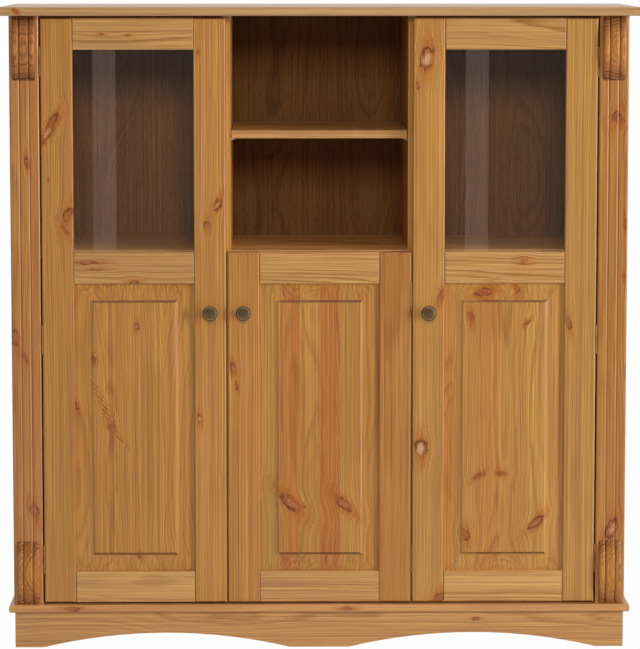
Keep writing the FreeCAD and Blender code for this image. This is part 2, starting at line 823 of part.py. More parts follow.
def raised_panel(name, door):
    # two crossing mouldings; what they share is the panel with mitred corners
    spread = value("dims.groove_depth - dims.panel_play")
    across = [value(door["opening_left"]), value(door["opening_right"])]
    upright = [value(door["panel_low"]), value(door["panel_high"])]
    start, steps = fielded_profile(across[0] - spread, across[1] + spread, *across)
    tall = padded(
        f"{name}_tall", "XY_Plane", start, steps,
        f"{door['panel_low']} - dims.groove_depth",
        f"{door['panel_high']} - {door['panel_low']} + 2 * dims.groove_depth",
    )
    start, steps = fielded_profile(upright[0] - spread, upright[1] + spread, *upright)
    swap = [tuple((depth, height) for height, depth in step) for step in steps]
    wide = padded(
        f"{name}_wide", "YZ_Plane", start[::-1], swap,
        f"{door['opening_left']} - dims.groove_depth",
        f"{door['opening_right']} - {door['opening_left']} + 2 * dims.groove_depth",
    )
    for moulding in (tall, wide):
        place_at(moulding, "0", face, "0")
    return common(name, tall, wide)


def glass_pane(name, door):
    reach = "(dims.groove_depth - dims.glass_play)"
    return block(
        name,
        (f"{door['opening_left']} - {reach}", f"{door['opening_right']} + {reach}"),
        behind_face("dims.groove_front", "(dims.groove_front + dims.glass_thickness)"),
        (f"{door['glass_low']} - {reach}", f"{door['glass_high']} + {reach}"),
    )


def glass_beads(name, door):
    # four strips behind the pane, with a bevel towards the opening
    depths = behind_face("(dims.groove_front + dims.glass_thickness)", "dims.door_thickness")
    left, right = door["opening_left"], door["opening_right"]
    low, high = door["glass_low"], door["glass_high"]
    outer_low, outer_high = f"({low} - dims.groove_depth)", f"({high} + dims.groove_depth)"
    back = value(door_back)
    inner_shift = "(dims.bead_width - dims.groove_depth)"
    strips = {
        "left": ((f"{left} - dims.groove_depth", f"{left} + {inner_shift}"), (outer_low, outer_high)),
        "right": ((f"{right} - {inner_shift}", f"{right} + dims.groove_depth"), (outer_low, outer_high)),
        "lower": ((f"{left} + {inner_shift}", f"{right} - {inner_shift}"),
                  (outer_low, f"{low} + {inner_shift}")),
        "upper": ((f"{left} + {inner_shift}", f"{right} - {inner_shift}"),
                  (f"{high} - {inner_shift}", outer_high)),
    }
    inner_planes = {
        "left": ("x", f"{left} + {inner_shift}"),
        "right": ("x", f"{right} - {inner_shift}"),
        "lower": ("z", f"{low} + {inner_shift}"),
        "upper": ("z", f"{high} - {inner_shift}"),
    }
    bevel = limited("dims.bead_chamfer", "dims.bead_width")
    beads = []
    for strip, (across, heights) in strips.items():
        blank = block(f"{name}_{strip}_blank", across, depths, heights)
        doc.recompute()
        axis, place = inner_planes[strip]
        bead = doc.addObject("Part::Chamfer", f"{name}_{strip}")
        bead.Base = blank
        bead.Edges = [
            (index, bevel, bevel) for index, edge in enumerate(blank.Shape.Edges, 1)
            if on_plane(edge, "y", back) and on_plane(edge, axis, value(place))
        ]
        beads.append(bead)
    return group(name, beads)


def dome_arc(radius, edge, crown):
    # from the edge of a round head to its crown on the axis, square to the axis there
    along, fall = tangent_arc(radius, abs(crown - edge))
    return ((along, crown - math.copysign(fall, crown - edge)), (0, crown))


def hollow_arc(start, end):
    # hollow between a narrow and a wide end, through the middle of a quarter ellipse
    lean = math.sqrt(0.5)
    narrow, wide = sorted((start, end))
    middle = (wide[0] - lean * (wide[0] - narrow[0]), narrow[1] + lean * (wide[1] - narrow[1]))
    return (middle, end)


def knob(name, door):
    # turned on the Y axis: rose, waisted neck and a shallow domed head with a rim
    crown = -value("dims.knob_projection")
    head, neck = value("dims.knob_diameter / 2"), value("dims.knob_neck / 2")
    rose, thread = value("dims.knob_rose / 2"), value("dims.screw_diameter / 2")
    rose_edge = (rose, -value("dims.knob_rose_edge"))
    neck_back = (neck, -value("dims.knob_neck_start"))
    neck_front = (neck, -value("dims.knob_neck_start + dims.knob_neck_length"))
    rim_back = (head, -value("dims.knob_rim_start"))
    rim_front = (head, -value("dims.knob_rim_start + dims.knob_rim_width"))
    lip = value("dims.knob_rim_lip")
    dome_edge = (head - lip, rim_front[1] - lip)
    thread_end = -value("dims.screw_reach")
    handle = turned(f"{name}_handle", (thread, 0), [
        ((rose, 0),),
        (rose_edge,),
        hollow_arc(rose_edge, neck_back),
        (neck_front,),
        hollow_arc(neck_front, rim_back),
        (rim_front,),
        (dome_edge,),
        dome_arc(*dome_edge, crown),
        ((0, thread_end),),
        ((thread, thread_end),),
    ], "V_Axis", 360)
    shank = thread - value("dims.screw_fit")
    depth, cap = value("dims.door_thickness"), value("dims.screw_head / 2")
    cap_back = depth + value("dims.screw_head_thickness")
    screw_end = thread_end + value("dims.overrun")
    screw = turned(f"{name}_screw", (0, screw_end), [
        ((shank, screw_end),),
        ((shank, depth),),
        ((cap, depth),),
        dome_arc(cap, depth, cap_back),
    ], "V_Axis", 360)
    for member in (handle, screw):
        place_at(member, door["knob_x"], face, "dims.knob_height")
    return group(name, [handle, screw])


strike_back = f"({door_back} + dims.strike_thickness)"
catch_heights = ("dims.catch_height - dims.catch_length / 2", "dims.catch_height + dims.catch_length / 2")
catch_walls = {
    "left": (f"-{partition_outer} - dims.catch_width", f"-{partition_outer}"),
    "centre": (f"-{partition_inner}", f"-{partition_inner} + dims.catch_width"),
    "right": (partition_outer, f"{partition_outer} + dims.catch_width"),
}


def strike_plate(name, catch_span):
    middle = f"(({catch_span[0]} + {catch_span[1]}) / 2)"
    return block(
        name,
        (f"{middle} - dims.strike_width / 2", f"{middle} + dims.strike_width / 2"),
        (door_back, strike_back),
        ("dims.catch_height - dims.strike_length / 2", "dims.catch_height + dims.strike_length / 2"),
    )


def magnetic_catch(name, catch_span):
    front = f"({strike_back} + dims.catch_air)"
    blank = block(f"{name}_blank", catch_span, (front, f"{front} + dims.catch_depth"), catch_heights)
    rear = value(f"{front} + dims.catch_depth")
    soft = limited("dims.shelf_arris", "dims.catch_width")
    return rounded(name, blank, [(soft, lambda edge: on_plane(edge, "y", rear))])


catches = []
for name, door in doors.items():
    sign = door["hinge_sign"]
    door["opening_left"] = f"({door['left_edge']} + dims.stile_width)"
    door["opening_right"] = f"({door['right_edge']} - dims.stile_width)"
    hinge_inner = door["opening_left"] if sign > 0 else door["opening_right"]
    lock_inner = door["opening_right"] if sign > 0 else door["opening_left"]
    door["knob_x"] = f"(({door['lock_edge']} + {lock_inner}) / 2)"
    door["panel_low"] = f"({door_bottom} + dims.rail_width)"
    door["panel_high"] = f"({centre_door_top} - dims.rail_width)"
    door["glass_low"] = centre_door_top
    door["glass_high"] = f"({door['top']} - dims.rail_width)"

    knob_hole = rod(
        f"{name}_knob_hole", "y", (door["knob_x"], f"{face} - dims.overrun", "dims.knob_height"),
        knob_bore, "dims.door_thickness + 2 * dims.overrun",
    )
    add_piece(stile(f"{name}_hinge_stile", door["hinge_edge"], hinge_inner, door, door["mortises"]))
    add_piece(stile(f"{name}_lock_stile", door["lock_edge"], lock_inner, door, [knob_hole]))
    add_piece(rail(f"{name}_bottom_rail", door, door_bottom, door["panel_low"], "plain", "grooved"))
    if door["glazed"]:
        add_piece(rail(
            f"{name}_middle_rail", door, door["panel_high"], door["glass_low"], "grooved", "rebated"))
        add_piece(rail(f"{name}_top_rail", door, door["glass_high"], door["top"], "rebated", "plain"))
        add_piece(glass_pane(f"{name}_glass", door))
        add_piece(glass_beads(f"{name}_glass_beads", door))
    else:
        add_piece(rail(f"{name}_top_rail", door, door["panel_high"], door["top"], "grooved", "plain"))
    add_piece(raised_panel(f"{name}_panel", door))
    add_piece(knob(f"{name}_knob", door))
    add_piece(group(f"{name}_door_leaves", door["leaves"]))
    add_piece(strike_plate(f"{name}_strike_plate", catch_walls[name]))
    catches.append(magnetic_catch(f"{name}_catch", catch_walls[name]))
add_piece(group("magnetic_catches", catches))

doc.recompute()

# Nothing is written unless every object is sound
for item in doc.Objects:
    if "Invalid" in item.State or "Error" in item.State:
        raise RuntimeError(f"{item.Label} failed: {item.State}")
for piece in pieces:
    if piece.Shape.isNull() or not piece.Shape.isValid():
        raise RuntimeError(f"{piece.Label} has no sound shape")

os.makedirs("parts", exist_ok=True)
for piece in pieces:
    piece.Shape.exportStep(f"parts/{piece.Label}.step")
    print(f"{piece.Label}: {len(piece.Shape.Solids)} solids, {piece.Shape.Volume / 1000:.1f} cm3")
print(f"{len(pieces)} sub-parts")
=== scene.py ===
import math
import bpy
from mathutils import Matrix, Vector


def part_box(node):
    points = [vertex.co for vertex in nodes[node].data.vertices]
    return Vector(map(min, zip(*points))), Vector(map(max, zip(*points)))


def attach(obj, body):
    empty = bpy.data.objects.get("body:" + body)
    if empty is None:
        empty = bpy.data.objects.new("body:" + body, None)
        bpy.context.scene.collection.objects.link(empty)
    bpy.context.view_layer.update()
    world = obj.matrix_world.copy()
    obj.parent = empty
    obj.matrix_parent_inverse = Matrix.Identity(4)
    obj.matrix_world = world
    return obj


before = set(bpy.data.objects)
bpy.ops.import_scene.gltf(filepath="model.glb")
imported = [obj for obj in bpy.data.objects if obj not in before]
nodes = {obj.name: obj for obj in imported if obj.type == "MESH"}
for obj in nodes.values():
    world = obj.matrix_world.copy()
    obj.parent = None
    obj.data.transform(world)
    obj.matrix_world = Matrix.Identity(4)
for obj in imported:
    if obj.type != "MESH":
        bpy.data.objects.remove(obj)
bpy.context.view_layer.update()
print("frame loaded:", len(nodes), "nodes")


def linearColor(hexText):
    # sRGB hex to the linear values that Blender's colours hold
    parts = [int(hexText[i:i + 2], 16) / 255 for i in (1, 3, 5)]
    return [c / 12.92 if c <= 0.04045 else ((c + 0.055) / 1.055) ** 2.4 for c in parts] + [1.0]


def addNode(tree, kind, inputs=None, **settings):
    # a value goes on the socket, a socket or a list of them is linked to it; the outputs come back
    node = tree.nodes.new(kind)
    for name, value in settings.items():
        setattr(node, name, value)
    for key, value in (inputs or {}).items():
        if isinstance(value, bpy.types.NodeSocket):
            tree.links.new(value, node.inputs[key])
        elif isinstance(value, list) and isinstance(value[0], bpy.types.NodeSocket):
            for socket in value:
                tree.links.new(socket, node.inputs[key])
        else:
            node.inputs[key].default_value = value
    return node.outputs


def newGroup(name, kind, inputs, outputs):
    tree = bpy.data.node_groups.new(name, kind)
    for label, socketType, value in inputs:
        socket = tree.interface.new_socket(label, in_out="INPUT", socket_type=socketType)
        if value is not None:
            socket.default_value = value
    for label, socketType in outputs:
        tree.interface.new_socket(label, in_out="OUTPUT", socket_type=socketType)
    return tree


def newMaterial(name):
    material = bpy.data.materials.new(name)
    material.use_nodes = True
    tree = material.node_tree
    tree.nodes.clear()
    return material, tree


# Camera: a little above the top and almost straight on, fitted to the photograph's frame
cameraSettings = {
    "place": (-0.063, -6.2, 1.434),
    "pitch": 5.576,
    "yaw": 0.61,
    "lens": 164.69,
    "sensorWidth": 36.0,
    "shift": (0.0, -0.13),
    "clipEnd": 100.0,
}


def makeCamera(settings):
    data = bpy.data.cameras.new("camera")
    data.lens = settings["lens"]
    data.sensor_width = settings["sensorWidth"]
    data.shift_x, data.shift_y = settings["shift"]
    data.clip_end = settings["clipEnd"]
    camera = bpy.data.objects.new("camera", data)
    camera.location = settings["place"]
    tilt, turn = math.radians(90 - settings["pitch"]), math.radians(-settings["yaw"])
    camera.rotation_euler = (tilt, 0, turn)
    bpy.context.scene.collection.objects.link(camera)
    bpy.context.scene.camera = camera


makeCamera(cameraSettings)

# Waxed pine: honey-brown earlywood with darker latewood lines, and fibres that flow round red-brown knots.
# The grain is solid, so a board shows long lines on its faces, rings on its ends and darker end grain.
uprightPine = {
    "early yellow": "#B98A46",
    "late yellow": "#996428",
    "early red": "#B67437",
    "late red": "#90501E",
    "halo": "#A25410",
    "knot": "#8E420E",
    "knot heart": "#C2976E",
    "knot edge": "#52220A",
}
levelPinePaintedSheen = {  # level boards get paler colours: painted sheen, for the light that their level fibres catch
    **uprightPine,
    "early yellow": "#C49458",
    "late yellow": "#9A662C",
    "early red": "#C28A52",
    "late red": "#985E28",
}
topPine = {  # the top's edge, paler still: more painted sheen and light on the edge
    **levelPinePaintedSheen,
    "early yellow": "#C29866",
    "late yellow": "#A07440",
    "early red": "#C08E5E",
    "late red": "#9C6C38",
}
corbelPine = {  # curved cuts through the rings take more stain
    **uprightPine,
    "early yellow": "#B27C3A",
    "late yellow": "#562C06",
    "early red": "#AE7034",
    "late red": "#4E2604",
}
printColors = {  # the back boards' brown print
    **uprightPine,
    "early yellow": "#734D2A",
    "late yellow": "#4C3016",
    "early red": "#6E4826",
    "late red": "#482C14",
}


def addPlace(tree):
    # the place on the object in millimetres, and the way that the surface faces
    coordinates = addNode(tree, "ShaderNodeTexCoord")
    inMillimetres = addNode(
        tree, "ShaderNodeVectorMath", {0: coordinates["Object"], "Scale": 1000.0}, operation="SCALE")
    return inMillimetres[0], coordinates["Normal"]


def makeNoiseGroup():
    # noise stretched to sizes in millimetres, centred on zero
    inputs = [
        ("Place", "NodeSocketVector", None), ("Sizes", "NodeSocketVector", None),
        ("Seed", "NodeSocketVector", None), ("Detail", "NodeSocketFloat", 1.0)]
    tree = newGroup("stretched noise", "ShaderNodeTree", inputs, [("Value", "NodeSocketFloat")])
    given = addNode(tree, "NodeGroupInput")
    scaled = addNode(tree, "ShaderNodeVectorMath", {
        0: given["Place"], 1: given["Sizes"]}, operation="DIVIDE")
    moved = addNode(tree, "ShaderNodeVectorMath", {0: scaled[0], 1: given["Seed"]}, operation="ADD")
    noise = addNode(
        tree, "ShaderNodeTexNoise", {"Vector": moved[0], "Scale": 1.0, "Detail": given["Detail"]})
    centred = addNode(tree, "ShaderNodeMath", {0: noise[0], 1: 0.5}, operation="SUBTRACT")
    addNode(tree, "NodeGroupOutput", {"Value": centred[0]})
    return tree


noiseGroup = makeNoiseGroup()

grainPatterns = {  # width across and through the board and length along it, in millimetres, then detail
    "slow": (900.0, 520.0, 1.0),
    "wave": (30.0, 520.0, 2.0),
    "tremor": (5.0, 90.0, 1.0),
    "streak": (15.0, 620.0, 2.0),
    "fibre": (1.5, 80.0, 2.0),  # real fibres are finer than a pixel, so they are drawn this wide to show
    "line": (2.4, 600.0, 1.0),
    "blotch": (55.0, 260.0, 2.0),
}
grainAmounts = {  # how strongly each shows
    "tremor": 0.8, "spacing": 6.0, "streak": 0.5, "fibre": 0.55, "line": 0.85, "blotch": 0.26,
    "nearKnots": 0.8, "onEnds": 0.8, "strokes": 1.6, "flames": 2.6,
}
ringStops = [(0.0, 0.3), (0.12, 0.0), (0.5, 0.14), (0.8, 0.85), (0.9, 1.0), (1.0, 0.3)]  # place, darkness
darkestWood = 0.42  # however much stain the end grain drinks
waxSettings = {
    "roughness": 0.37, "lateRoughness": -0.06, "fibreRoughness": 0.14, "gloss": 0.44, "ior": 1.5,
    "relief": 0.25, "reliefDepth": 0.0002,
}


def makeGrainGroup():
    floats = [
        ("Across", 0.0), ("Through", 0.0), ("Along", 0.0), ("End Grain", 0.0), ("Bend", 0.0),
        ("Core", 0.0), ("Edge", 0.0), ("Halo", 0.0), ("Heart", 0.0),
        ("Seed", 0.0), ("Strip Width", 200.0), ("Strip Shift", 0.0), ("Ring Gap", 2.5),
        ("Pith Side", 420.0), ("Pith Depth", 70.0), ("Wander", 8.0), ("Wave", 1.6),
        ("Tone", 0.4), ("Tone Spread", 0.5), ("Tone Turns", 0.0),
        ("Contrast", 0.95), ("Stain", 0.35), ("Shade", 1.0),
    ]
    inputs = [(label, "NodeSocketFloat", value) for label, value in floats]
    inputs += [(label, "NodeSocketColor", linearColor(code)) for label, code in uprightPine.items()]
    outputs = [("Color", "NodeSocketColor"), ("Roughness", "NodeSocketFloat"), ("Height", "NodeSocketFloat")]
    tree = newGroup("solid wood grain", "ShaderNodeTree", inputs, outputs)
    given = addNode(tree, "NodeGroupInput")

    # glued strips: each has a number, and draws its own pith and tone from it
    shifted = addNode(tree, "ShaderNodeMath", {0: given["Across"], 1: given["Strip Shift"]}, operation="ADD")
    ratio = addNode(tree, "ShaderNodeMath", {0: shifted[0], 1: given["Strip Width"]}, operation="DIVIDE")
    index = addNode(tree, "ShaderNodeMath", {0: ratio[0]}, operation="FLOOR")
    share = addNode(tree, "ShaderNodeMath", {0: ratio[0], 1: index[0]}, operation="SUBTRACT")
    centred = addNode(tree, "ShaderNodeMath", {0: share[0], 1: 0.5}, operation="SUBTRACT")
    local = addNode(tree, "ShaderNodeMath", {
        0: centred[0], 1: given["Strip Width"], 2: given["Bend"]}, operation="MULTIPLY_ADD")
    stripSeed = addNode(
        tree, "ShaderNodeMath", {0: index[0], 1: 7.31, 2: given["Seed"]}, operation="MULTIPLY_ADD")
    drawn = addNode(tree, "ShaderNodeTexWhiteNoise", {"W": stripSeed[0]}, noise_dimensions="1D")
    draws = addNode(tree, "ShaderNodeSeparateColor", {0: drawn["Color"]})
    seedVector = addNode(
        tree, "ShaderNodeCombineXYZ", {"X": stripSeed[0], "Y": given["Seed"], "Z": stripSeed[0]})[0]
    bentAcross = addNode(tree, "ShaderNodeMath", {0: given["Across"], 1: given["Bend"]}, operation="ADD")
    place = addNode(
        tree, "ShaderNodeCombineXYZ", {"X": bentAcross[0], "Y": given["Through"], "Z": given["Along"]})[0]
    patterns = {}
    for label, (width, length, detail) in grainPatterns.items():
        patterns[label] = addNode(tree, "ShaderNodeGroup", {
            "Place": place, "Sizes": (width, width, length), "Seed": seedVector, "Detail": detail,
        }, node_tree=noiseGroup)[0]

    # the pith runs along the strip and wanders slowly
    side = addNode(tree, "ShaderNodeMath", {0: draws[0], 1: 0.5}, operation="SUBTRACT")
    pithSide = addNode(tree, "ShaderNodeMath", {0: side[0], 1: given["Pith Side"]}, operation="MULTIPLY")
    depthShare = addNode(tree, "ShaderNodeMath", {0: draws[1], 1: 0.5}, operation="ADD")
    pithDepth = addNode(tree, "ShaderNodeMath", {
        0: depthShare[0], 1: given["Pith Depth"]}, operation="MULTIPLY")
    wander = addNode(tree, "ShaderNodeMath", {0: patterns["slow"], 1: given["Wander"]}, operation="MULTIPLY")
    fromPith = addNode(tree, "ShaderNodeMath", {0: local[0], 1: pithSide[0]}, operation="SUBTRACT")
    fromPath = addNode(tree, "ShaderNodeMath", {0: fromPith[0], 1: wander[0]}, operation="ADD")
    deep = addNode(tree, "ShaderNodeMath", {0: given["Through"], 1: pithDepth[0]}, operation="SUBTRACT")
    deeper = addNode(tree, "ShaderNodeMath", {0: wander[0], 1: 0.7, 2: deep[0]}, operation="MULTIPLY_ADD")
    arm = addNode(tree, "ShaderNodeCombineXYZ", {"X": fromPath[0], "Y": deeper[0], "Z": 0.0})
    radius = addNode(tree, "ShaderNodeVectorMath", {0: arm[0]}, operation="LENGTH")["Value"]

    # rings are never quite round or evenly spaced
    waved = addNode(
        tree, "ShaderNodeMath", {0: patterns["wave"], 1: given["Wave"], 2: radius}, operation="MULTIPLY_ADD")
    trembled = addNode(tree, "ShaderNodeMath", {
        0: patterns["tremor"], 1: grainAmounts["tremor"], 2: waved[0]}, operation="MULTIPLY_ADD")
    spacing = addNode(
        tree, "ShaderNodeTexNoise", {"W": trembled[0], "Scale": 0.09, "Detail": 1.0}, noise_dimensions="1D")
    spaced = addNode(tree, "ShaderNodeMath", {
        0: spacing[0], 1: grainAmounts["spacing"], 2: trembled[0]}, operation="MULTIPLY_ADD")
    rings = addNode(tree, "ShaderNodeMath", {0: spaced[0], 1: given["Ring Gap"]}, operation="DIVIDE")
    phase = addNode(tree, "ShaderNodeMath", {0: rings[0]}, operation="FRACT")
    year = addNode(tree, "ShaderNodeMath", {0: rings[0]}, operation="FLOOR")
    yearSeed = addNode(tree, "ShaderNodeMath", {0: year[0], 1: stripSeed[0]}, operation="ADD")
    strength = addNode(tree, "ShaderNodeTexWhiteNoise", {"W": yearSeed[0]}, noise_dimensions="1D")
    strong = addNode(tree, "ShaderNodeMapRange", {"Value": strength["Value"], "To Min": 0.25, "To Max": 1.0})
    ramp = tree.nodes.new("ShaderNodeValToRGB")
    tree.links.new(phase[0], ramp.inputs[0])
    elements = ramp.color_ramp.elements  # begins with one stop at each end
    for position, _ in ringStops[1:-1]:
        elements.new(position)
    for element, (_, level) in zip(elements, ringStops):
        element.color = (level, level, level, 1.0)
    late = addNode(tree, "ShaderNodeMath", {0: ramp.outputs[0], 1: strong[0]}, operation="MULTIPLY")
    # the lines are stronger near knots and on end grain
    nearKnot = addNode(tree, "ShaderNodeMath", {
        0: given["Halo"], 1: grainAmounts["nearKnots"], 2: given["Contrast"]}, operation="MULTIPLY_ADD")
    onEnds = addNode(tree, "ShaderNodeMath", {
        0: given["End Grain"], 1: grainAmounts["onEnds"], 2: nearKnot[0]}, operation="MULTIPLY_ADD")
    lateShare = addNode(tree, "ShaderNodeMath", {
        0: late[0], 1: onEnds[0]}, operation="MULTIPLY", use_clamp=True)

    # tone: strip by strip, and in long soft streaks
    stripTone = addNode(tree, "ShaderNodeMath", {0: draws[2], 1: 0.5}, operation="SUBTRACT")
    drawnTone = addNode(tree, "ShaderNodeMath", {
        0: stripTone[0], 1: given["Tone Spread"], 2: given["Tone"]}, operation="MULTIPLY_ADD")
    turn = addNode(tree, "ShaderNodeMath", {0: index[0], 1: 2.0}, operation="FLOORED_MODULO")
    turned = addNode(tree, "ShaderNodeMath", {0: turn[0], 1: 0.5}, operation="SUBTRACT")
    spread = addNode(tree, "ShaderNodeMath", {
        0: turned[0], 1: given["Tone Turns"], 2: drawnTone[0]}, operation="MULTIPLY_ADD")
    tone = addNode(tree, "ShaderNodeMath", {
        0: patterns["streak"], 1: grainAmounts["streak"], 2: spread[0],
    }, operation="MULTIPLY_ADD", use_clamp=True)
    early = addNode(tree, "ShaderNodeMix", {
        0: tone[0], 6: given["early yellow"], 7: given["early red"]}, data_type="RGBA")
    dark = addNode(
        tree, "ShaderNodeMix", {0: tone[0], 6: given["late yellow"], 7: given["late red"]}, data_type="RGBA")
    wood = addNode(tree, "ShaderNodeMix", {0: lateShare[0], 6: early[2], 7: dark[2]}, data_type="RGBA")
    level = 1.0
    for label in ("fibre", "line", "blotch"):
        level = addNode(tree, "ShaderNodeMath", {
            0: patterns[label], 1: grainAmounts[label], 2: level}, operation="MULTIPLY_ADD")[0]
    # end grain drinks more stain, in short uneven strokes and more in some strips than in others
    strokes = addNode(tree, "ShaderNodeMath", {
        0: patterns["line"], 1: grainAmounts["strokes"], 2: draws[0]}, operation="MULTIPLY_ADD")
    thirst = addNode(tree, "ShaderNodeMath", {0: strokes[0], 1: 0.3}, operation="ADD")
    drunk = addNode(tree, "ShaderNodeMath", {0: thirst[0], 1: given["Stain"]}, operation="MULTIPLY")
    stain = addNode(tree, "ShaderNodeMath", {0: drunk[0], 1: given["End Grain"]}, operation="MULTIPLY")
    stained = addNode(tree, "ShaderNodeMath", {0: level, 1: stain[0]}, operation="SUBTRACT")
    kept = addNode(tree, "ShaderNodeMath", {0: stained[0], 1: darkestWood}, operation="MAXIMUM")
    # a brightness factor per board: partly its own tone, partly painted light and shade
    brightness = addNode(tree, "ShaderNodeMath", {0: kept[0], 1: given["Shade"]}, operation="MULTIPLY")
    # darker fibres are redder
    hue = addNode(tree, "ShaderNodeMapRange", {
        "Value": kept[0], "From Min": 0.6, "From Max": 1.4, "To Min": 0.486, "To Max": 0.512})
    fibred = addNode(
        tree, "ShaderNodeHueSaturation", {"Color": wood[2], "Hue": hue[0], "Value": brightness[0]})
    # knots: a warm halo, then the core with its heart, and a dark line of bark
    flames = addNode(tree, "ShaderNodeMath", {
        0: patterns["line"], 1: grainAmounts["flames"], 2: 0.7}, operation="MULTIPLY_ADD")
    haloShare = addNode(
        tree, "ShaderNodeMath", {0: given["Halo"], 1: flames[0]}, operation="MULTIPLY", use_clamp=True)
    haloed = addNode(tree, "ShaderNodeMix", {
        0: haloShare[0], 6: fibred[0], 7: given["halo"]}, data_type="RGBA")
    core = addNode(tree, "ShaderNodeMix", {
        0: given["Heart"], 6: given["knot"], 7: given["knot heart"]}, data_type="RGBA")
    cored = addNode(tree, "ShaderNodeMix", {0: given["Core"], 6: haloed[2], 7: core[2]}, data_type="RGBA")
    edged = addNode(tree, "ShaderNodeMix", {
        0: given["Edge"], 6: cored[2], 7: given["knot edge"]}, data_type="RGBA")

    rough = addNode(tree, "ShaderNodeMath", {
        0: lateShare[0], 1: waxSettings["lateRoughness"], 2: waxSettings["roughness"],
    }, operation="MULTIPLY_ADD")
    roughness = addNode(tree, "ShaderNodeMath", {
        0: patterns["fibre"], 1: waxSettings["fibreRoughness"], 2: rough[0]}, operation="MULTIPLY_ADD")
    height = addNode(
        tree, "ShaderNodeMath", {0: patterns["fibre"], 1: 0.5, 2: lateShare[0]}, operation="MULTIPLY_ADD")
    addNode(tree, "NodeGroupOutput", {"Color": edged[2], "Roughness": roughness[0], "Height": height[0]})
    return tree


knotShape = {  # sizes in half widths of the knot, and amounts
    "rag": 1.2, "reach": 2.1, "pull": -0.8, "bark": 0.95, "flame": (0.5, 0.26, 0.0), "flicker": 0.9,
    "rings": 19.0, "ringAmount": 0.3,
}
knotFlow = ("Bend", "Core", "Edge", "Halo", "Heart")  # what a board's knots hand on, one to the next


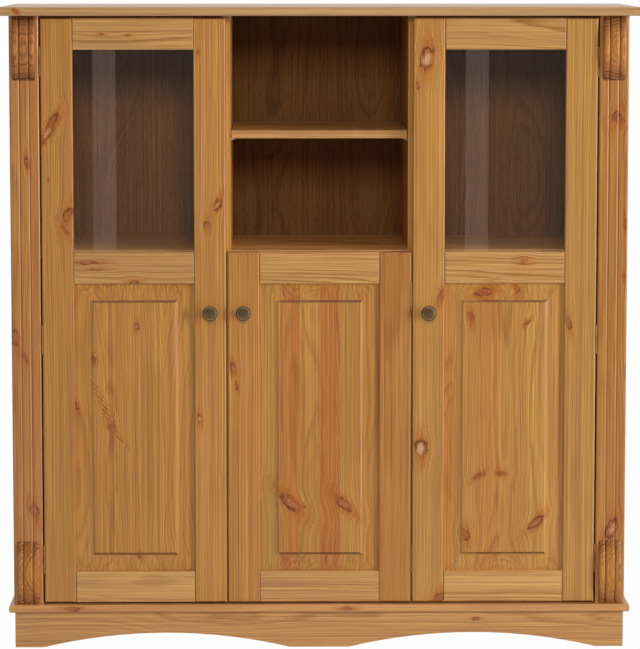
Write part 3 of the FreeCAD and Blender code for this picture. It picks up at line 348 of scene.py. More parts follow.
def makeKnotGroup():
    floats = [("Across", 0.0), ("Along", 0.0)] + [(label, 0.0) for label in knotFlow]
    floats += [
        ("Middle Across", 0.0), ("Middle Along", 0.0), ("Half Width", 6.0), ("Stretch", 1.4), ("Lean", 0.0),
        ("Paleness", 0.3),
    ]
    inputs = [(label, "NodeSocketFloat", value) for label, value in floats]
    outputs = [(label, "NodeSocketFloat") for label in knotFlow]
    tree = newGroup("branch knot", "ShaderNodeTree", inputs, outputs)
    given = addNode(tree, "NodeGroupInput")
    dx = addNode(tree, "ShaderNodeMath", {
        0: given["Across"], 1: given["Middle Across"]}, operation="SUBTRACT")
    dz = addNode(tree, "ShaderNodeMath", {0: given["Along"], 1: given["Middle Along"]}, operation="SUBTRACT")
    leaned = addNode(tree, "ShaderNodeMath", {
        0: dz[0], 1: given["Lean"], 2: dx[0]}, operation="MULTIPLY_ADD")
    wide = addNode(tree, "ShaderNodeMath", {0: leaned[0], 1: given["Half Width"]}, operation="DIVIDE")
    tallSize = addNode(tree, "ShaderNodeMath", {
        0: given["Half Width"], 1: given["Stretch"]}, operation="MULTIPLY")
    tall = addNode(tree, "ShaderNodeMath", {0: dz[0], 1: tallSize[0]}, operation="DIVIDE")
    spot = addNode(tree, "ShaderNodeCombineXYZ", {"X": wide[0], "Y": tall[0], "Z": given["Middle Along"]})
    rag = addNode(tree, "ShaderNodeTexNoise", {"Vector": spot[0], "Scale": 1.6, "Detail": 3.0})
    flat = addNode(tree, "ShaderNodeCombineXYZ", {"X": wide[0], "Y": tall[0], "Z": 0.0})
    far = addNode(tree, "ShaderNodeVectorMath", {0: flat[0]}, operation="LENGTH")["Value"]
    ragged = addNode(tree, "ShaderNodeMath", {
        0: rag[0], 1: knotShape["rag"], 2: far}, operation="MULTIPLY_ADD")
    away = addNode(tree, "ShaderNodeMath", {0: ragged[0], 1: knotShape["rag"] / 2}, operation="SUBTRACT")

    # the fibres part round the branch and close again beyond it
    reach = addNode(tree, "ShaderNodeMath", {0: away[0], 1: knotShape["reach"]}, operation="DIVIDE")
    squared = addNode(tree, "ShaderNodeMath", {0: reach[0], 1: reach[0]}, operation="MULTIPLY")
    negative = addNode(tree, "ShaderNodeMath", {0: squared[0], 1: -1.0}, operation="MULTIPLY")
    bell = addNode(tree, "ShaderNodeMath", {0: negative[0]}, operation="EXPONENT")
    pull = addNode(tree, "ShaderNodeMath", {0: bell[0], 1: knotShape["pull"]}, operation="MULTIPLY")
    bend = addNode(tree, "ShaderNodeMath", {
        0: dx[0], 1: pull[0], 2: given["Bend"]}, operation="MULTIPLY_ADD")

    core = addNode(tree, "ShaderNodeMapRange", {
        "Value": away[0], "From Min": 0.6, "From Max": 1.05, "To Min": 0.92, "To Max": 0.0},
        interpolation_type="SMOOTHSTEP")
    patch = addNode(tree, "ShaderNodeMapRange", {
        "Value": rag[0], "From Min": 0.3, "From Max": 0.6, "To Min": 0.7, "To Max": 1.0})
    patchy = addNode(tree, "ShaderNodeMath", {0: core[0], 1: patch[0]}, operation="MULTIPLY")
    cores = addNode(tree, "ShaderNodeMath", {0: patchy[0], 1: given["Core"]}, operation="MAXIMUM")
    offEdge = addNode(tree, "ShaderNodeMath", {0: away[0], 1: knotShape["bark"]}, operation="SUBTRACT")
    nearEdge = addNode(tree, "ShaderNodeMath", {0: offEdge[0]}, operation="ABSOLUTE")
    edge = addNode(tree, "ShaderNodeMapRange", {
        "Value": nearEdge[0], "From Min": 0.0, "From Max": 0.3, "To Min": 0.8, "To Max": 0.0},
        interpolation_type="SMOOTHSTEP")
    side = addNode(tree, "ShaderNodeTexNoise", {"Vector": spot[0], "Scale": 0.6, "Detail": 0.0})
    bark = addNode(tree, "ShaderNodeMapRange", {"Value": side[0], "From Min": 0.38, "From Max": 0.58})
    edgeShare = addNode(tree, "ShaderNodeMath", {
        0: edge[0], 1: bark[0]}, operation="MULTIPLY", use_clamp=True)
    edges = addNode(tree, "ShaderNodeMath", {0: edgeShare[0], 1: given["Edge"]}, operation="MAXIMUM")
    # the halo is drawn out along the grain, in flames
    flame = addNode(tree, "ShaderNodeVectorMath", {0: flat[0], 1: knotShape["flame"]}, operation="MULTIPLY")
    flameFar = addNode(tree, "ShaderNodeVectorMath", {0: flame[0]}, operation="LENGTH")["Value"]
    flicker = addNode(tree, "ShaderNodeMath", {
        0: rag[0], 1: knotShape["flicker"], 2: flameFar}, operation="MULTIPLY_ADD")
    halo = addNode(tree, "ShaderNodeMapRange", {
        "Value": flicker[0], "From Min": 0.5, "From Max": 1.5, "To Min": 0.9, "To Max": 0.0},
        interpolation_type="SMOOTHSTEP")
    halos = addNode(tree, "ShaderNodeMath", {0: halo[0], 1: given["Halo"]}, operation="MAXIMUM")
    # rings inside the branch, paler towards its heart
    innerRings = addNode(tree, "ShaderNodeMath", {0: away[0], 1: knotShape["rings"]}, operation="MULTIPLY")
    ringWave = addNode(tree, "ShaderNodeMath", {0: innerRings[0]}, operation="SINE")
    heartGlow = addNode(tree, "ShaderNodeMapRange", {
        "Value": away[0], "From Min": 0.0, "From Max": 0.8, "To Min": 1.0, "To Max": 0.0})
    heart = addNode(tree, "ShaderNodeMath", {0: heartGlow[0], 1: given["Paleness"]}, operation="MULTIPLY")
    ringed = addNode(tree, "ShaderNodeMath", {
        0: ringWave[0], 1: knotShape["ringAmount"], 2: heart[0]}, operation="MULTIPLY_ADD")
    heartHere = addNode(tree, "ShaderNodeMath", {0: ringed[0], 1: core[0]}, operation="MULTIPLY")
    hearts = addNode(
        tree, "ShaderNodeMath", {0: heartHere[0], 1: given["Heart"]}, operation="MAXIMUM", use_clamp=True)
    addNode(tree, "NodeGroupOutput", {
        "Bend": bend[0], "Core": cores[0], "Edge": edges[0], "Halo": halos[0], "Heart": hearts[0]})
    return tree


grainGroup = makeGrainGroup()
knotGroup = makeKnotGroup()
grainAxes = {  # how a board lies: across its face, through it, and along its grain
    "upright": ("X", "Y", "Z"),
    "upright side": ("Y", "X", "Z"),
    "level rail": ("Z", "Y", "X"),
    "level board": ("Y", "Z", "X"),
    "level side": ("Z", "X", "Y"),
}
axisDirections = {"X": (1.0, 0.0, 0.0), "Y": (0.0, 1.0, 0.0), "Z": (0.0, 0.0, 1.0)}


def addGrain(tree, lie, knots, edgeKnots, dip, grain, colors):
    # grain sizes and knots are in millimetres
    place, normal = addPlace(tree)
    axes = addNode(tree, "ShaderNodeSeparateXYZ", {0: place})
    across, through, along = (axes[letter] for letter in grainAxes[lie])
    if dip:
        # the face falls away towards both ends, so the rings show there as nested arcs
        fromMiddle = addNode(tree, "ShaderNodeMath", {0: along, 1: dip["middle"]}, operation="SUBTRACT")
        share = addNode(tree, "ShaderNodeMath", {0: fromMiddle[0], 1: dip["reach"]}, operation="DIVIDE")
        steep = addNode(tree, "ShaderNodeMath", {0: share[0], 1: share[0]}, operation="MULTIPLY")
        through = addNode(
            tree, "ShaderNodeMath", {0: steep[0], 1: dip["depth"], 2: through}, operation="MULTIPLY_ADD")[0]
        # the ends darken towards the tips: partly end-grain stain, partly painted shade where the face
        # curves away from the light
        endStainAndPaintedShade = addNode(tree, "ShaderNodeMath", {
            0: steep[0], 1: dip["cut"]}, operation="MULTIPLY", use_clamp=True)
    flow = {}
    placed = [(across, knot) for knot in knots] + [(through, knot) for knot in edgeKnots]
    for sideways, (middleAcross, middleAlong, halfWidth, stretch, lean, paleness) in placed:
        branch = addNode(tree, "ShaderNodeGroup", {
            "Across": sideways, "Along": along, "Middle Across": middleAcross, "Middle Along": middleAlong,
            "Half Width": halfWidth, "Stretch": stretch, "Lean": lean, "Paleness": paleness, **flow,
        }, node_tree=knotGroup)
        flow = {label: branch[label] for label in knotFlow}
    facing = addNode(tree, "ShaderNodeVectorMath", {
        0: normal, 1: axisDirections[grainAxes[lie][2]]}, operation="DOT_PRODUCT")["Value"]
    slope = addNode(tree, "ShaderNodeMath", {0: facing}, operation="ABSOLUTE")
    cutAcross = addNode(tree, "ShaderNodeMapRange", {"Value": slope[0], "From Min": 0.2, "From Max": 0.5})[0]
    if dip:
        cutAcross = addNode(tree, "ShaderNodeMath", {0: cutAcross, 1: endStainAndPaintedShade[0]}, operation="MAXIMUM")[0]
    return addNode(tree, "ShaderNodeGroup", {
        "Across": across, "Through": through, "Along": along, "End Grain": cutAcross, **flow, **grain,
        **{label: linearColor(code) for label, code in colors.items()},
    }, node_tree=grainGroup)


def makeWood(name, lie, board, grain, colors):
    material, tree = newMaterial(name)
    wood = addGrain(
        tree, lie, board.get("knots", []), board.get("edgeKnots", []), board.get("dip"), grain, colors)
    bump = addNode(tree, "ShaderNodeBump", {
        "Strength": waxSettings["relief"], "Distance": waxSettings["reliefDepth"], "Height": wood["Height"]})
    surface = addNode(tree, "ShaderNodeBsdfPrincipled", {
        "Base Color": wood["Color"], "Roughness": wood["Roughness"], "Normal": bump[0],
        "IOR": waxSettings["ior"], "Specular IOR Level": board.get("gloss", waxSettings["gloss"])})
    addNode(tree, "ShaderNodeOutputMaterial", {"Surface": surface[0]})
    return material


def makePrint(name, seed, shade):
    # thin board with a brown oak print: pointed figure and short pores in front, plain fibreboard behind
    material, tree = newMaterial(name)
    grain = {
        "Seed": seed, "Strip Width": 190.0, "Ring Gap": 4.0, "Pith Side": 60.0, "Pith Depth": 30.0,
        "Wander": 90.0, "Wave": 5.0, "Tone": 0.4, "Tone Spread": 0.2, "Contrast": 0.5, "Shade": shade}
    wood = addGrain(tree, "upright", [], [], None, grain, printColors)
    place, normal = addPlace(tree)
    pores = addNode(tree, "ShaderNodeGroup", {
        "Place": place, "Sizes": (1.4, 1.4, 22.0), "Seed": (seed, 0.0, seed), "Detail": 1.0,
    }, node_tree=noiseGroup)
    deepPores = addNode(tree, "ShaderNodeMapRange", {
        "Value": pores[0], "From Min": 0.02, "From Max": 0.2, "To Min": 1.0, "To Max": 0.66})
    printed = addNode(tree, "ShaderNodeHueSaturation", {"Color": wood["Color"], "Value": deepPores[0]})
    fluff = addNode(tree, "ShaderNodeGroup", {
        "Place": place, "Sizes": (2.5, 2.5, 2.5), "Seed": (seed, 0.0, 0.0), "Detail": 4.0,
    }, node_tree=noiseGroup)
    fluffLevel = addNode(tree, "ShaderNodeMath", {0: fluff[0], 1: 0.5, 2: 1.0}, operation="MULTIPLY_ADD")
    fibreboard = addNode(
        tree, "ShaderNodeHueSaturation", {"Color": linearColor("#8C6C48"), "Value": fluffLevel[0]})
    rear = addNode(tree, "ShaderNodeSeparateXYZ", {0: normal})
    behind = addNode(tree, "ShaderNodeMapRange", {"Value": rear["Y"], "From Min": 0.4, "From Max": 0.6})
    color = addNode(
        tree, "ShaderNodeMix", {0: behind[0], 6: printed[0], 7: fibreboard[0]}, data_type="RGBA")
    surface = addNode(tree, "ShaderNodeBsdfPrincipled", {
        "Base Color": color[2], "Roughness": 0.55, "IOR": 1.5, "Specular IOR Level": 0.08})
    addNode(tree, "ShaderNodeOutputMaterial", {"Surface": surface[0]})
    return material


def dress(nodeName, material):
    slots = nodes[nodeName].data.materials
    if len(slots) == 0:
        slots.append(material)
    for slot in range(len(slots)):
        slots[slot] = material


# Boards: how each was cut, its tone from yellow (0) to red (1), its brightness, which is partly its own tone
# and partly painted light, and its knots.
# A knot is given in millimetres: across the board, along it, half its width, its stretch, lean and paleness.
cuts = {
    "stile": {"Contrast": 0.7, "Ring Gap": 2.1},
    "pilaster": {"Pith Side": 300.0, "Wander": 14.0, "Ring Gap": 1.5, "Contrast": 0.8},
    "rail": {"Pith Side": 150.0, "Pith Depth": 60.0, "Wander": 16.0, "Wave": 3.0, "Ring Gap": 1.6,
             "Contrast": 0.95},
    "panel": {"Strip Width": 49.0, "Pith Side": 130.0, "Pith Depth": 60.0, "Wander": 26.0, "Wave": 2.6,
              "Ring Gap": 1.3, "Tone Spread": 0.6, "Contrast": 0.7, "Stain": 0.9},
    "board": {"Strip Width": 66.0, "Pith Side": 160.0, "Pith Depth": 60.0, "Wander": 18.0, "Wave": 2.6},
    "corbel": {"Pith Side": 260.0, "Pith Depth": 50.0, "Wander": 8.0, "Wave": 3.0, "Ring Gap": 3.6,
               "Contrast": 0.7, "Stain": 0.7},
}
usualLies = {
    "stile": "upright", "pilaster": "upright", "panel": "upright", "corbel": "upright",
    "rail": "level rail", "board": "level board",
}
# painted light in the brightness: darker top, top rails and right pilaster where the lamps fall strongest,
# brighter shelves and niche floor inside
boards = {
    "top_panel": {
        "cut": "board", "shade": 0.84, "tone": 0.25, "colors": topPine,
        "edgeKnots": [(1311.0, -613.0, 6.0, 0.8, 0.4, 0.2)]},
    "base_panel": {
        "cut": "board", "tone": 0.3,
        "edgeKnots": [(82.0, -509.0, 5.0, 2.6, 0.0, 0.3), (82.0, 57.0, 4.0, 2.8, 0.0, 0.3)]},
    "plinth_front": {
        "cut": "rail", "shade": 0.87, "tone": 0.6, "grain": {"Contrast": 0.7},
        "knots": [(58.0, 323.0, 4.0, 1.7, 0.0, 0.2)]},
    "plinth_sides": {"lie": "level side", "cut": "rail", "tone": 0.3},
    "plinth_back": {"cut": "rail", "tone": 0.4},
    "plinth_blocks": {"cut": "stile", "tone": 0.4},
    "niche_shelf": {"cut": "board", "shade": 0.94, "tone": 0.4},
    "niche_floor": {"cut": "board", "shade": 1.12, "tone": 0.4},
    "left_upper_shelf": {"cut": "board", "shade": 1.1, "tone": 0.45},
    "left_lower_shelf": {"cut": "board", "tone": 0.35},
    "right_upper_shelf": {"cut": "board", "shade": 1.1, "tone": 0.4},
    "right_lower_shelf": {"cut": "board", "tone": 0.45},
    "centre_shelf": {"cut": "board", "tone": 0.35},
    "left_side_panel": {
        "lie": "upright side", "cut": "board", "tone": 0.35,
        "knots": [(60.0, 900.0, 9.0, 1.5, 0.1, 0.3), (-70.0, 520.0, 7.0, 1.4, 0.0, 0.4),
                  (120.0, 260.0, 11.0, 1.3, -0.1, 0.2), (-20.0, 1130.0, 6.0, 1.6, 0.0, 0.3)]},
    "right_side_panel": {
        "lie": "upright side", "cut": "board", "tone": 0.4,
        "knots": [(-90.0, 1010.0, 10.0, 1.4, 0.1, 0.3), (40.0, 700.0, 7.0, 1.5, 0.0, 0.2),
                  (110.0, 400.0, 8.0, 1.3, 0.1, 0.4), (-40.0, 210.0, 12.0, 1.3, 0.0, 0.3)]},
    "left_partition": {"lie": "upright side", "cut": "board", "tone": 0.45},
    "right_partition": {"lie": "upright side", "cut": "board", "tone": 0.4},
    "left_pilaster": {
        "cut": "pilaster", "gloss": 0.55, "shade": 0.9, "tone": 0.8,
        "knots": [(-595.0, 1004.0, 5.0, 2.2, 0.2, 0.1), (-622.0, 646.0, 9.0, 1.8, 0.2, 0.4),
                  (-603.0, 605.0, 4.0, 2.2, 0.4, 0.1), (-587.0, 286.0, 9.0, 1.5, 0.4, 0.3)]},
    "right_pilaster": {
        "cut": "pilaster", "shade": 0.82, "gloss": 0.45, "tone": 0.6,
        "knots": [(606.0, 1097.0, 10.0, 1.2, -0.3, 0.0), (612.0, 1091.0, 8.0, 1.2, 0.3, 0.0),
                  (624.0, 878.0, 3.5, 3.0, 0.1, 0.0),
                  (623.0, 769.0, 3.0, 2.0, 0.0, 0.1), (604.0, 246.0, 12.0, 1.6, -0.3, 0.8)]},
    "upper_corbels": {
        "cut": "corbel", "tone": 0.5, "colors": corbelPine, "gloss": 0.3,
        "dip": {"middle": 1234.0, "reach": 66.0, "depth": 14.0, "cut": 1.1},
        "knots": [(-622.0, 1205.0, 4.0, 1.6, 0.0, 0.1)]},
    "lower_corbels": {
        "cut": "corbel", "tone": 0.5, "colors": corbelPine, "gloss": 0.3,
        "dip": {"middle": 156.0, "reach": 66.0, "depth": 14.0, "cut": 1.1}},
    "left_hinge_stile": {
        "cut": "stile", "shade": 0.9, "tone": 0.25,
        "knots": [(-553.0, 1064.0, 9.0, 2.2, -0.7, 1.2), (-544.0, 1086.0, 7.0, 2.4, -0.5, 0.0),
                  (-514.0, 893.0, 10.0, 1.7, -0.3, 0.3), (-519.0, 866.0, 6.0, 1.8, 0.6, 0.0),
                  (-552.0, 969.0, 2.0, 1.6, 0.0, 0.2)]},
    "left_lock_stile": {
        "cut": "stile", "shade": 0.97, "tone": 0.35,
        "knots": [(-208.0, 917.0, 8.0, 1.5, -0.4, 1.0), (-229.0, 875.0, 6.5, 1.2, 0.0, 0.3),
                  (-245.5, 1228.0, 2.6, 1.4, 0.0, 0.1), (-246.0, 476.0, 5.0, 1.9, 0.1, 1.2)]},
    "left_top_rail": {
        "cut": "rail", "shade": 0.88, "tone": 0.2,
        "knots": [(1265.0, -442.0, 2.5, 2.0, 0.0, 0.3), (1263.0, -389.0, 2.5, 1.6, 0.0, 0.3)]},
    "left_middle_rail": {
        "cut": "rail", "shade": 0.86, "tone": 0.35,
        "knots": [(757.0, -379.0, 7.0, 1.3, 0.0, 0.3), (799.0, -474.0, 4.0, 5.0, 0.0, 0.6),
                  (786.0, -455.0, 2.5, 6.0, 0.0, 0.6)]},
    "left_bottom_rail": {"cut": "rail", "shade": 0.95, "tone": 0.1},
    "left_panel": {
        "cut": "panel", "gloss": 0.35, "shade": 0.94, "shift": 415.0, "tone": 0.4,
        "knots": [(-462.0, 599.0, 4.0, 1.5, 0.2, 0.4), (-374.0, 667.0, 5.0, 1.4, 0.0, 0.6),
                  (-498.0, 502.0, 5.5, 1.2, 0.3, 0.0), (-370.0, 190.0, 4.0, 1.3, 0.2, 0.4),
                  # curly grain: a feather of slanted strokes
                  *((-461.0 + 6.0 * stroke, 548.0 - 15.0 * stroke, 1.4 + 0.15 * stroke, 4.0, 1.0, 0.5)
                    for stroke in range(8))]},
    "left_glass_beads": {"cut": "stile", "tone": 0.4},
    "centre_hinge_stile": {"cut": "stile", "shade": 0.86, "tone": 0.6},
    "centre_lock_stile": {
        "cut": "stile", "shade": 0.95, "tone": 0.4,
        "knots": [(-176.0, 580.0, 6.5, 1.7, 0.2, 0.6), (-170.0, 545.0, 3.0, 3.0, 0.2, 0.0)]},
    "centre_top_rail": {"cut": "rail", "shade": 0.93, "tone": 0.5},
    "centre_bottom_rail": {"cut": "rail", "shade": 0.95, "tone": 0.6},
    "centre_panel": {
        "cut": "panel", "gloss": 0.35, "shade": 0.91, "shift": 81.0, "tone": 0.45,
        "grain": {"Strip Width": 41.0, "Tone Spread": 0.5, "Tone Turns": -0.55},
        "knots": [(-56.0, 300.0, 17.0, 1.1, 0.8, 0.4), (52.0, 296.0, 13.0, 1.1, 0.8, 0.4)]},
    "right_hinge_stile": {
        "cut": "stile", "shade": 0.88, "tone": 0.3,
        "knots": [(511.0, 675.0, 5.5, 2.8, 0.2, 0.1)]},
    "right_lock_stile": {
        "cut": "stile", "shade": 0.97, "tone": 0.25,
        "knots": [(219.0, 1215.0, 13.0, 1.7, -0.1, 2.6), (200.0, 1160.0, 4.0, 1.6, 0.0, 0.3),
                  (254.0, 735.0, 8.0, 2.2, -0.4, 0.1),
                  (208.0, 414.0, 13.0, 1.35, 0.0, 2.6), (243.0, 99.0, 12.0, 1.0, -0.5, 0.0)]},
    "right_top_rail": {"cut": "rail", "shade": 0.86, "tone": 0.35},
    "right_middle_rail": {
        "cut": "rail", "shade": 0.93, "tone": 0.55,
        "knots": [(802.0, 419.0, 6.0, 1.4, 0.0, 0.4)]},
    "right_bottom_rail": {"cut": "rail", "tone": 0.3},
    "right_panel": {
        "cut": "panel", "gloss": 0.35, "shade": 0.95, "shift": 20.0, "tone": 0.42,
        "knots": [(329.0, 356.0, 8.0, 0.9, -1.1, 0.2), (376.0, 362.0, 11.0, 0.45, 0.3, 0.0),
                  (446.0, 258.0, 11.0, 1.2, -0.8, 0.3), (301.0, 234.0, 9.0, 1.2, 0.1, 0.1),
                  (339.0, 737.0, 19.0, 0.4, -0.6, 0.1), (405.0, 743.0, 6.0, 1.6, 0.3, 0.2),
                  (310.0, 687.0, 7.0, 1.6, 0.2, 0.0), (427.0, 675.0, 5.0, 1.1, -0.8, 0.1)]},
    "right_glass_beads": {"cut": "stile", "tone": 0.4},
}
stripStart = 100.0  # half a wide strip, so that one is centred on its board
for number, (nodeName, board) in enumerate(boards.items()):
    lie = board.get("lie", usualLies[board["cut"]])
    low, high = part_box(nodeName)
    acrossAxis = "XYZ".index(grainAxes[lie][0])
    middle = (low[acrossAxis] + high[acrossAxis]) / 2 * 1000
    grain = {
        "Seed": 3.7 * number + 1.0, "Tone": board["tone"], "Shade": board.get("shade", 1.0),
        "Strip Shift": board.get("shift", stripStart - middle),
        **cuts[board["cut"]], **board.get("grain", {}),
    }
    boardColors = board.get("colors", uprightPine if lie.startswith("upright") else levelPinePaintedSheen)
    dress(nodeName, makeWood(f"waxed pine {nodeName}", lie, board, grain, boardColors))
# one print on all three backs; the glazed bays' backs are brighter than the niche's as painted light, for
# the light that their glass and frames hold back
backPaintedLight = {"left_back_panel": 1.46, "centre_back_panel": 1.1, "right_back_panel": 1.32}
for number, (nodeName, shade) in enumerate(backPaintedLight.items()):
    dress(nodeName, makePrint(f"oak print {nodeName}", 41.3 + 9.1 * number, shade))
print("boards dressed:", len(boards))


def plainFinish(name, colors, spotSize, roughness, metallic, relief):
    # a base colour that drifts to a second one in soft spots of a size in millimetres, with fine relief
    material, tree = newMaterial(name)
    place = addPlace(tree)[0]
    spots = addNode(
        tree, "ShaderNodeTexNoise", {"Vector": place, "Scale": 1.0 / spotSize, "Detail": 4.0})
    share = addNode(tree, "ShaderNodeMapRange", {"Value": spots[0], "From Min": 0.35, "From Max": 0.65})
    color = addNode(tree, "ShaderNodeMix", {
        0: share[0], 6: linearColor(colors[0]), 7: linearColor(colors[1])}, data_type="RGBA")
    rough = addNode(tree, "ShaderNodeMapRange", {
        "Value": spots[0], "From Min": 0.3, "From Max": 0.7, "To Min": roughness[0], "To Max": roughness[1]})
    bump = addNode(tree, "ShaderNodeBump", {"Strength": relief, "Distance": 0.0001, "Height": spots[0]})
    surface = addNode(tree, "ShaderNodeBsdfPrincipled", {
        "Base Color": color[2], "Roughness": rough[0], "Normal": bump[0], "Metallic": metallic})
    addNode(tree, "ShaderNodeOutputMaterial", {"Surface": surface[0]})
    return material


# Antique brass: dark grey-brown patina under lacquer, a dull shine
antiqueBrass = plainFinish("antique brass", ("#8A7654", "#65543A"), 5.0, (0.34, 0.5), 1.0, 0.15)
# Bronzed steel: brown and dull, so that the knuckles sink into the gap
bronzedSteel = plainFinish("bronzed steel", ("#9C7040", "#885E34"), 4.0, (0.45, 0.6), 0.4, 0.1)
# Zinc plate: pale grey with a faint spangle
zincPlate = plainFinish("zinc plated steel", ("#B4B6B8", "#9A9DA0"), 3.0, (0.3, 0.42), 1.0, 0.1)
# Moulded plastics: pale pins, brown catch housings
pinPlastic = plainFinish("pale moulded plastic", ("#E0D8C8", "#D2C8B4"), 5.0, (0.35, 0.45), 0.0, 0.05)
catchPlastic = plainFinish("brown moulded plastic", ("#4A3020", "#3E281A"), 5.0, (0.4, 0.5), 0.0, 0.1)

knobSettings = {  # sizes in millimetres; edge is the colour of a painted highlight ring, rim the darker colour beyond it
    "face": "#806646", "cloud": "#5C4630", "edge": "#A89470", "rim": "#34271A",
    "edgeRadius": 12.8, "edgeWidth": 1.4, "edgeBlend": 0.7, "cloudSize": 4.0,
}


def makeKnobBrass(nodeName, settings):
    # antique brass with a painted highlight: a pale ring round the edge of the face, and darker on the rim
    # outside it
    material, tree = newMaterial(f"antique brass {nodeName}")
    low, high = (Vector(corner) * 1000 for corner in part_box(nodeName))
    middle = (low + high) / 2
    place = addPlace(tree)[0]
    fromMiddle = addNode(tree, "ShaderNodeVectorMath", {0: place, 1: middle}, operation="SUBTRACT")
    across = addNode(
        tree, "ShaderNodeVectorMath", {0: fromMiddle[0], 1: (1.0, 0.0, 1.0)}, operation="MULTIPLY")
    radius = addNode(tree, "ShaderNodeVectorMath", {0: across[0]}, operation="LENGTH")["Value"]
    cloud = addNode(tree, "ShaderNodeTexNoise", {
        "Vector": place, "Scale": 1.0 / settings["cloudSize"], "Detail": 4.0})
    face = addNode(tree, "ShaderNodeMix", {
        0: cloud[0], 6: linearColor(settings["face"]), 7: linearColor(settings["cloud"])}, data_type="RGBA")
    edge = settings["edgeRadius"]
    paintedHighlightRing = addNode(tree, "ShaderNodeMapRange", {
        "Value": radius, "From Min": edge - settings["edgeWidth"], "From Max": edge})
    edged = addNode(tree, "ShaderNodeMix", {
        0: paintedHighlightRing[0], 6: face[2], 7: linearColor(settings["edge"])}, data_type="RGBA")
    darkRimShare = addNode(tree, "ShaderNodeMapRange", {
        "Value": radius, "From Min": edge, "From Max": edge + settings["edgeBlend"]})
    color = addNode(tree, "ShaderNodeMix", {
        0: darkRimShare[0], 6: edged[2], 7: linearColor(settings["rim"])}, data_type="RGBA")
    roughness = addNode(tree, "ShaderNodeMapRange", {
        "Value": cloud[0], "From Min": 0.3, "From Max": 0.7, "To Min": 0.36, "To Max": 0.5})
    bump = addNode(tree, "ShaderNodeBump", {"Strength": 0.12, "Distance": 0.0001, "Height": cloud[0]})
    surface = addNode(tree, "ShaderNodeBsdfPrincipled", {
        "Base Color": color[2], "Roughness": roughness[0], "Normal": bump[0], "Metallic": 0.85})
    addNode(tree, "ShaderNodeOutputMaterial", {"Surface": surface[0]})
    return material


for nodeName in nodes:
    if nodeName.endswith("_knob"):
        dress(nodeName, makeKnobBrass(nodeName, knobSettings))
    elif nodeName.endswith("_leaves") or nodeName == "hinge_pins":
        dress(nodeName, bronzedSteel)
    elif nodeName.endswith("_strike_plate"):
        dress(nodeName, zincPlate)
    elif nodeName == "shelf_pins":
        dress(nodeName, pinPlastic)
    elif nodeName == "magnetic_catches":
        dress(nodeName, catchPlastic)


def makeGlass():
    # float glass: clear and polished; light from the lamps passes straight through it
    material, tree = newMaterial("float glass")
    pane = addNode(tree, "ShaderNodeBsdfPrincipled", {
        "Base Color": linearColor("#F6F8F7"), "Roughness": 0.0, "IOR": 1.5, "Transmission Weight": 1.0})
    clear = addNode(tree, "ShaderNodeBsdfTransparent", {"Color": linearColor("#FCFDFC")})
    path = addNode(tree, "ShaderNodeLightPath")
    passing = addNode(
        tree, "ShaderNodeMath", {0: path["Is Shadow Ray"], 1: path["Is Diffuse Ray"]}, operation="MAXIMUM")
    mixed = addNode(tree, "ShaderNodeMixShader", {0: passing[0], 1: pane[0], 2: clear[0]})
    addNode(tree, "ShaderNodeOutputMaterial", {"Surface": mixed[0]})
    return material


floatGlass = makeGlass()
dress("left_glass", floatGlass)
dress("right_glass", floatGlass)
print("metal, plastic and glass dressed")

# Fasteners, in millimetres: every head sits on the face that carries it and stands a hair proud of it
fastenerSizes = {
    "hinge screw": {"diameter": 6.0, "height": 0.25, "finish": bronzedSteel, "slot": "bronzed_steel"},
    "catch screw": {"diameter": 6.0, "height": 0.9, "finish": zincPlate, "slot": "zinc_plate"},
    "strike screw": {"diameter": 5.0, "height": 0.1, "finish": zincPlate, "slot": "zinc_plate"},
    "back nail": {"diameter": 3.6, "height": 0.3, "finish": zincPlate, "slot": "zinc_plate"},
    "bead brad": {"diameter": 1.8, "height": 0.15, "finish": antiqueBrass, "slot": "antique_brass"},
}
headSides = 20
hingeSettings = {  # the doors' leaves face fixed ones; the centre door's fixed leaves have a front flange
    "tallLevels": (183.0, 640.0, 1208.0),
    "centreLevels": (183.0, 730.0),
    "leafSteps": (-20.0, 0.0, 20.0),
    "flangeSteps": (-20.0, 20.0),
    "leafY": -154.0,
    "flangeY": -143.0,
    "tallDoorX": 567.0,
    "tallFixedX": 570.0,
    "centreDoorX": 188.0,
    "flangeX": 186.0,
}
catchSettings = {"y": -130.0, "levels": (747.0, 773.0), "faces": (-211.5, -167.5, 211.5)}
strikeSettings = {
    "y": -144.0, "levels": (748.0, 772.0), "doors": {"left": -204.5, "centre": -174.5, "right": 204.5},
}
nailSettings = {
    "y": 190.0,
    "columns": (-616.5, -193.5, -185.5, 185.5, 193.5, 616.5), "low": 110.0, "high": 1280.0, "count": 9,
    "row": {"level": 813.0, "reach": 150.0, "count": 4},
}
bradSettings = {  # along the beads round each pane
    "y": -145.0,
    "panes": {"left": (-502.0, -256.0), "right": (256.0, 502.0)}, "outside": 6.0, "inset": 30.0,
    "low": 850.0, "high": 1203.0, "levels": (814.0, 1239.0), "count": 3,
}


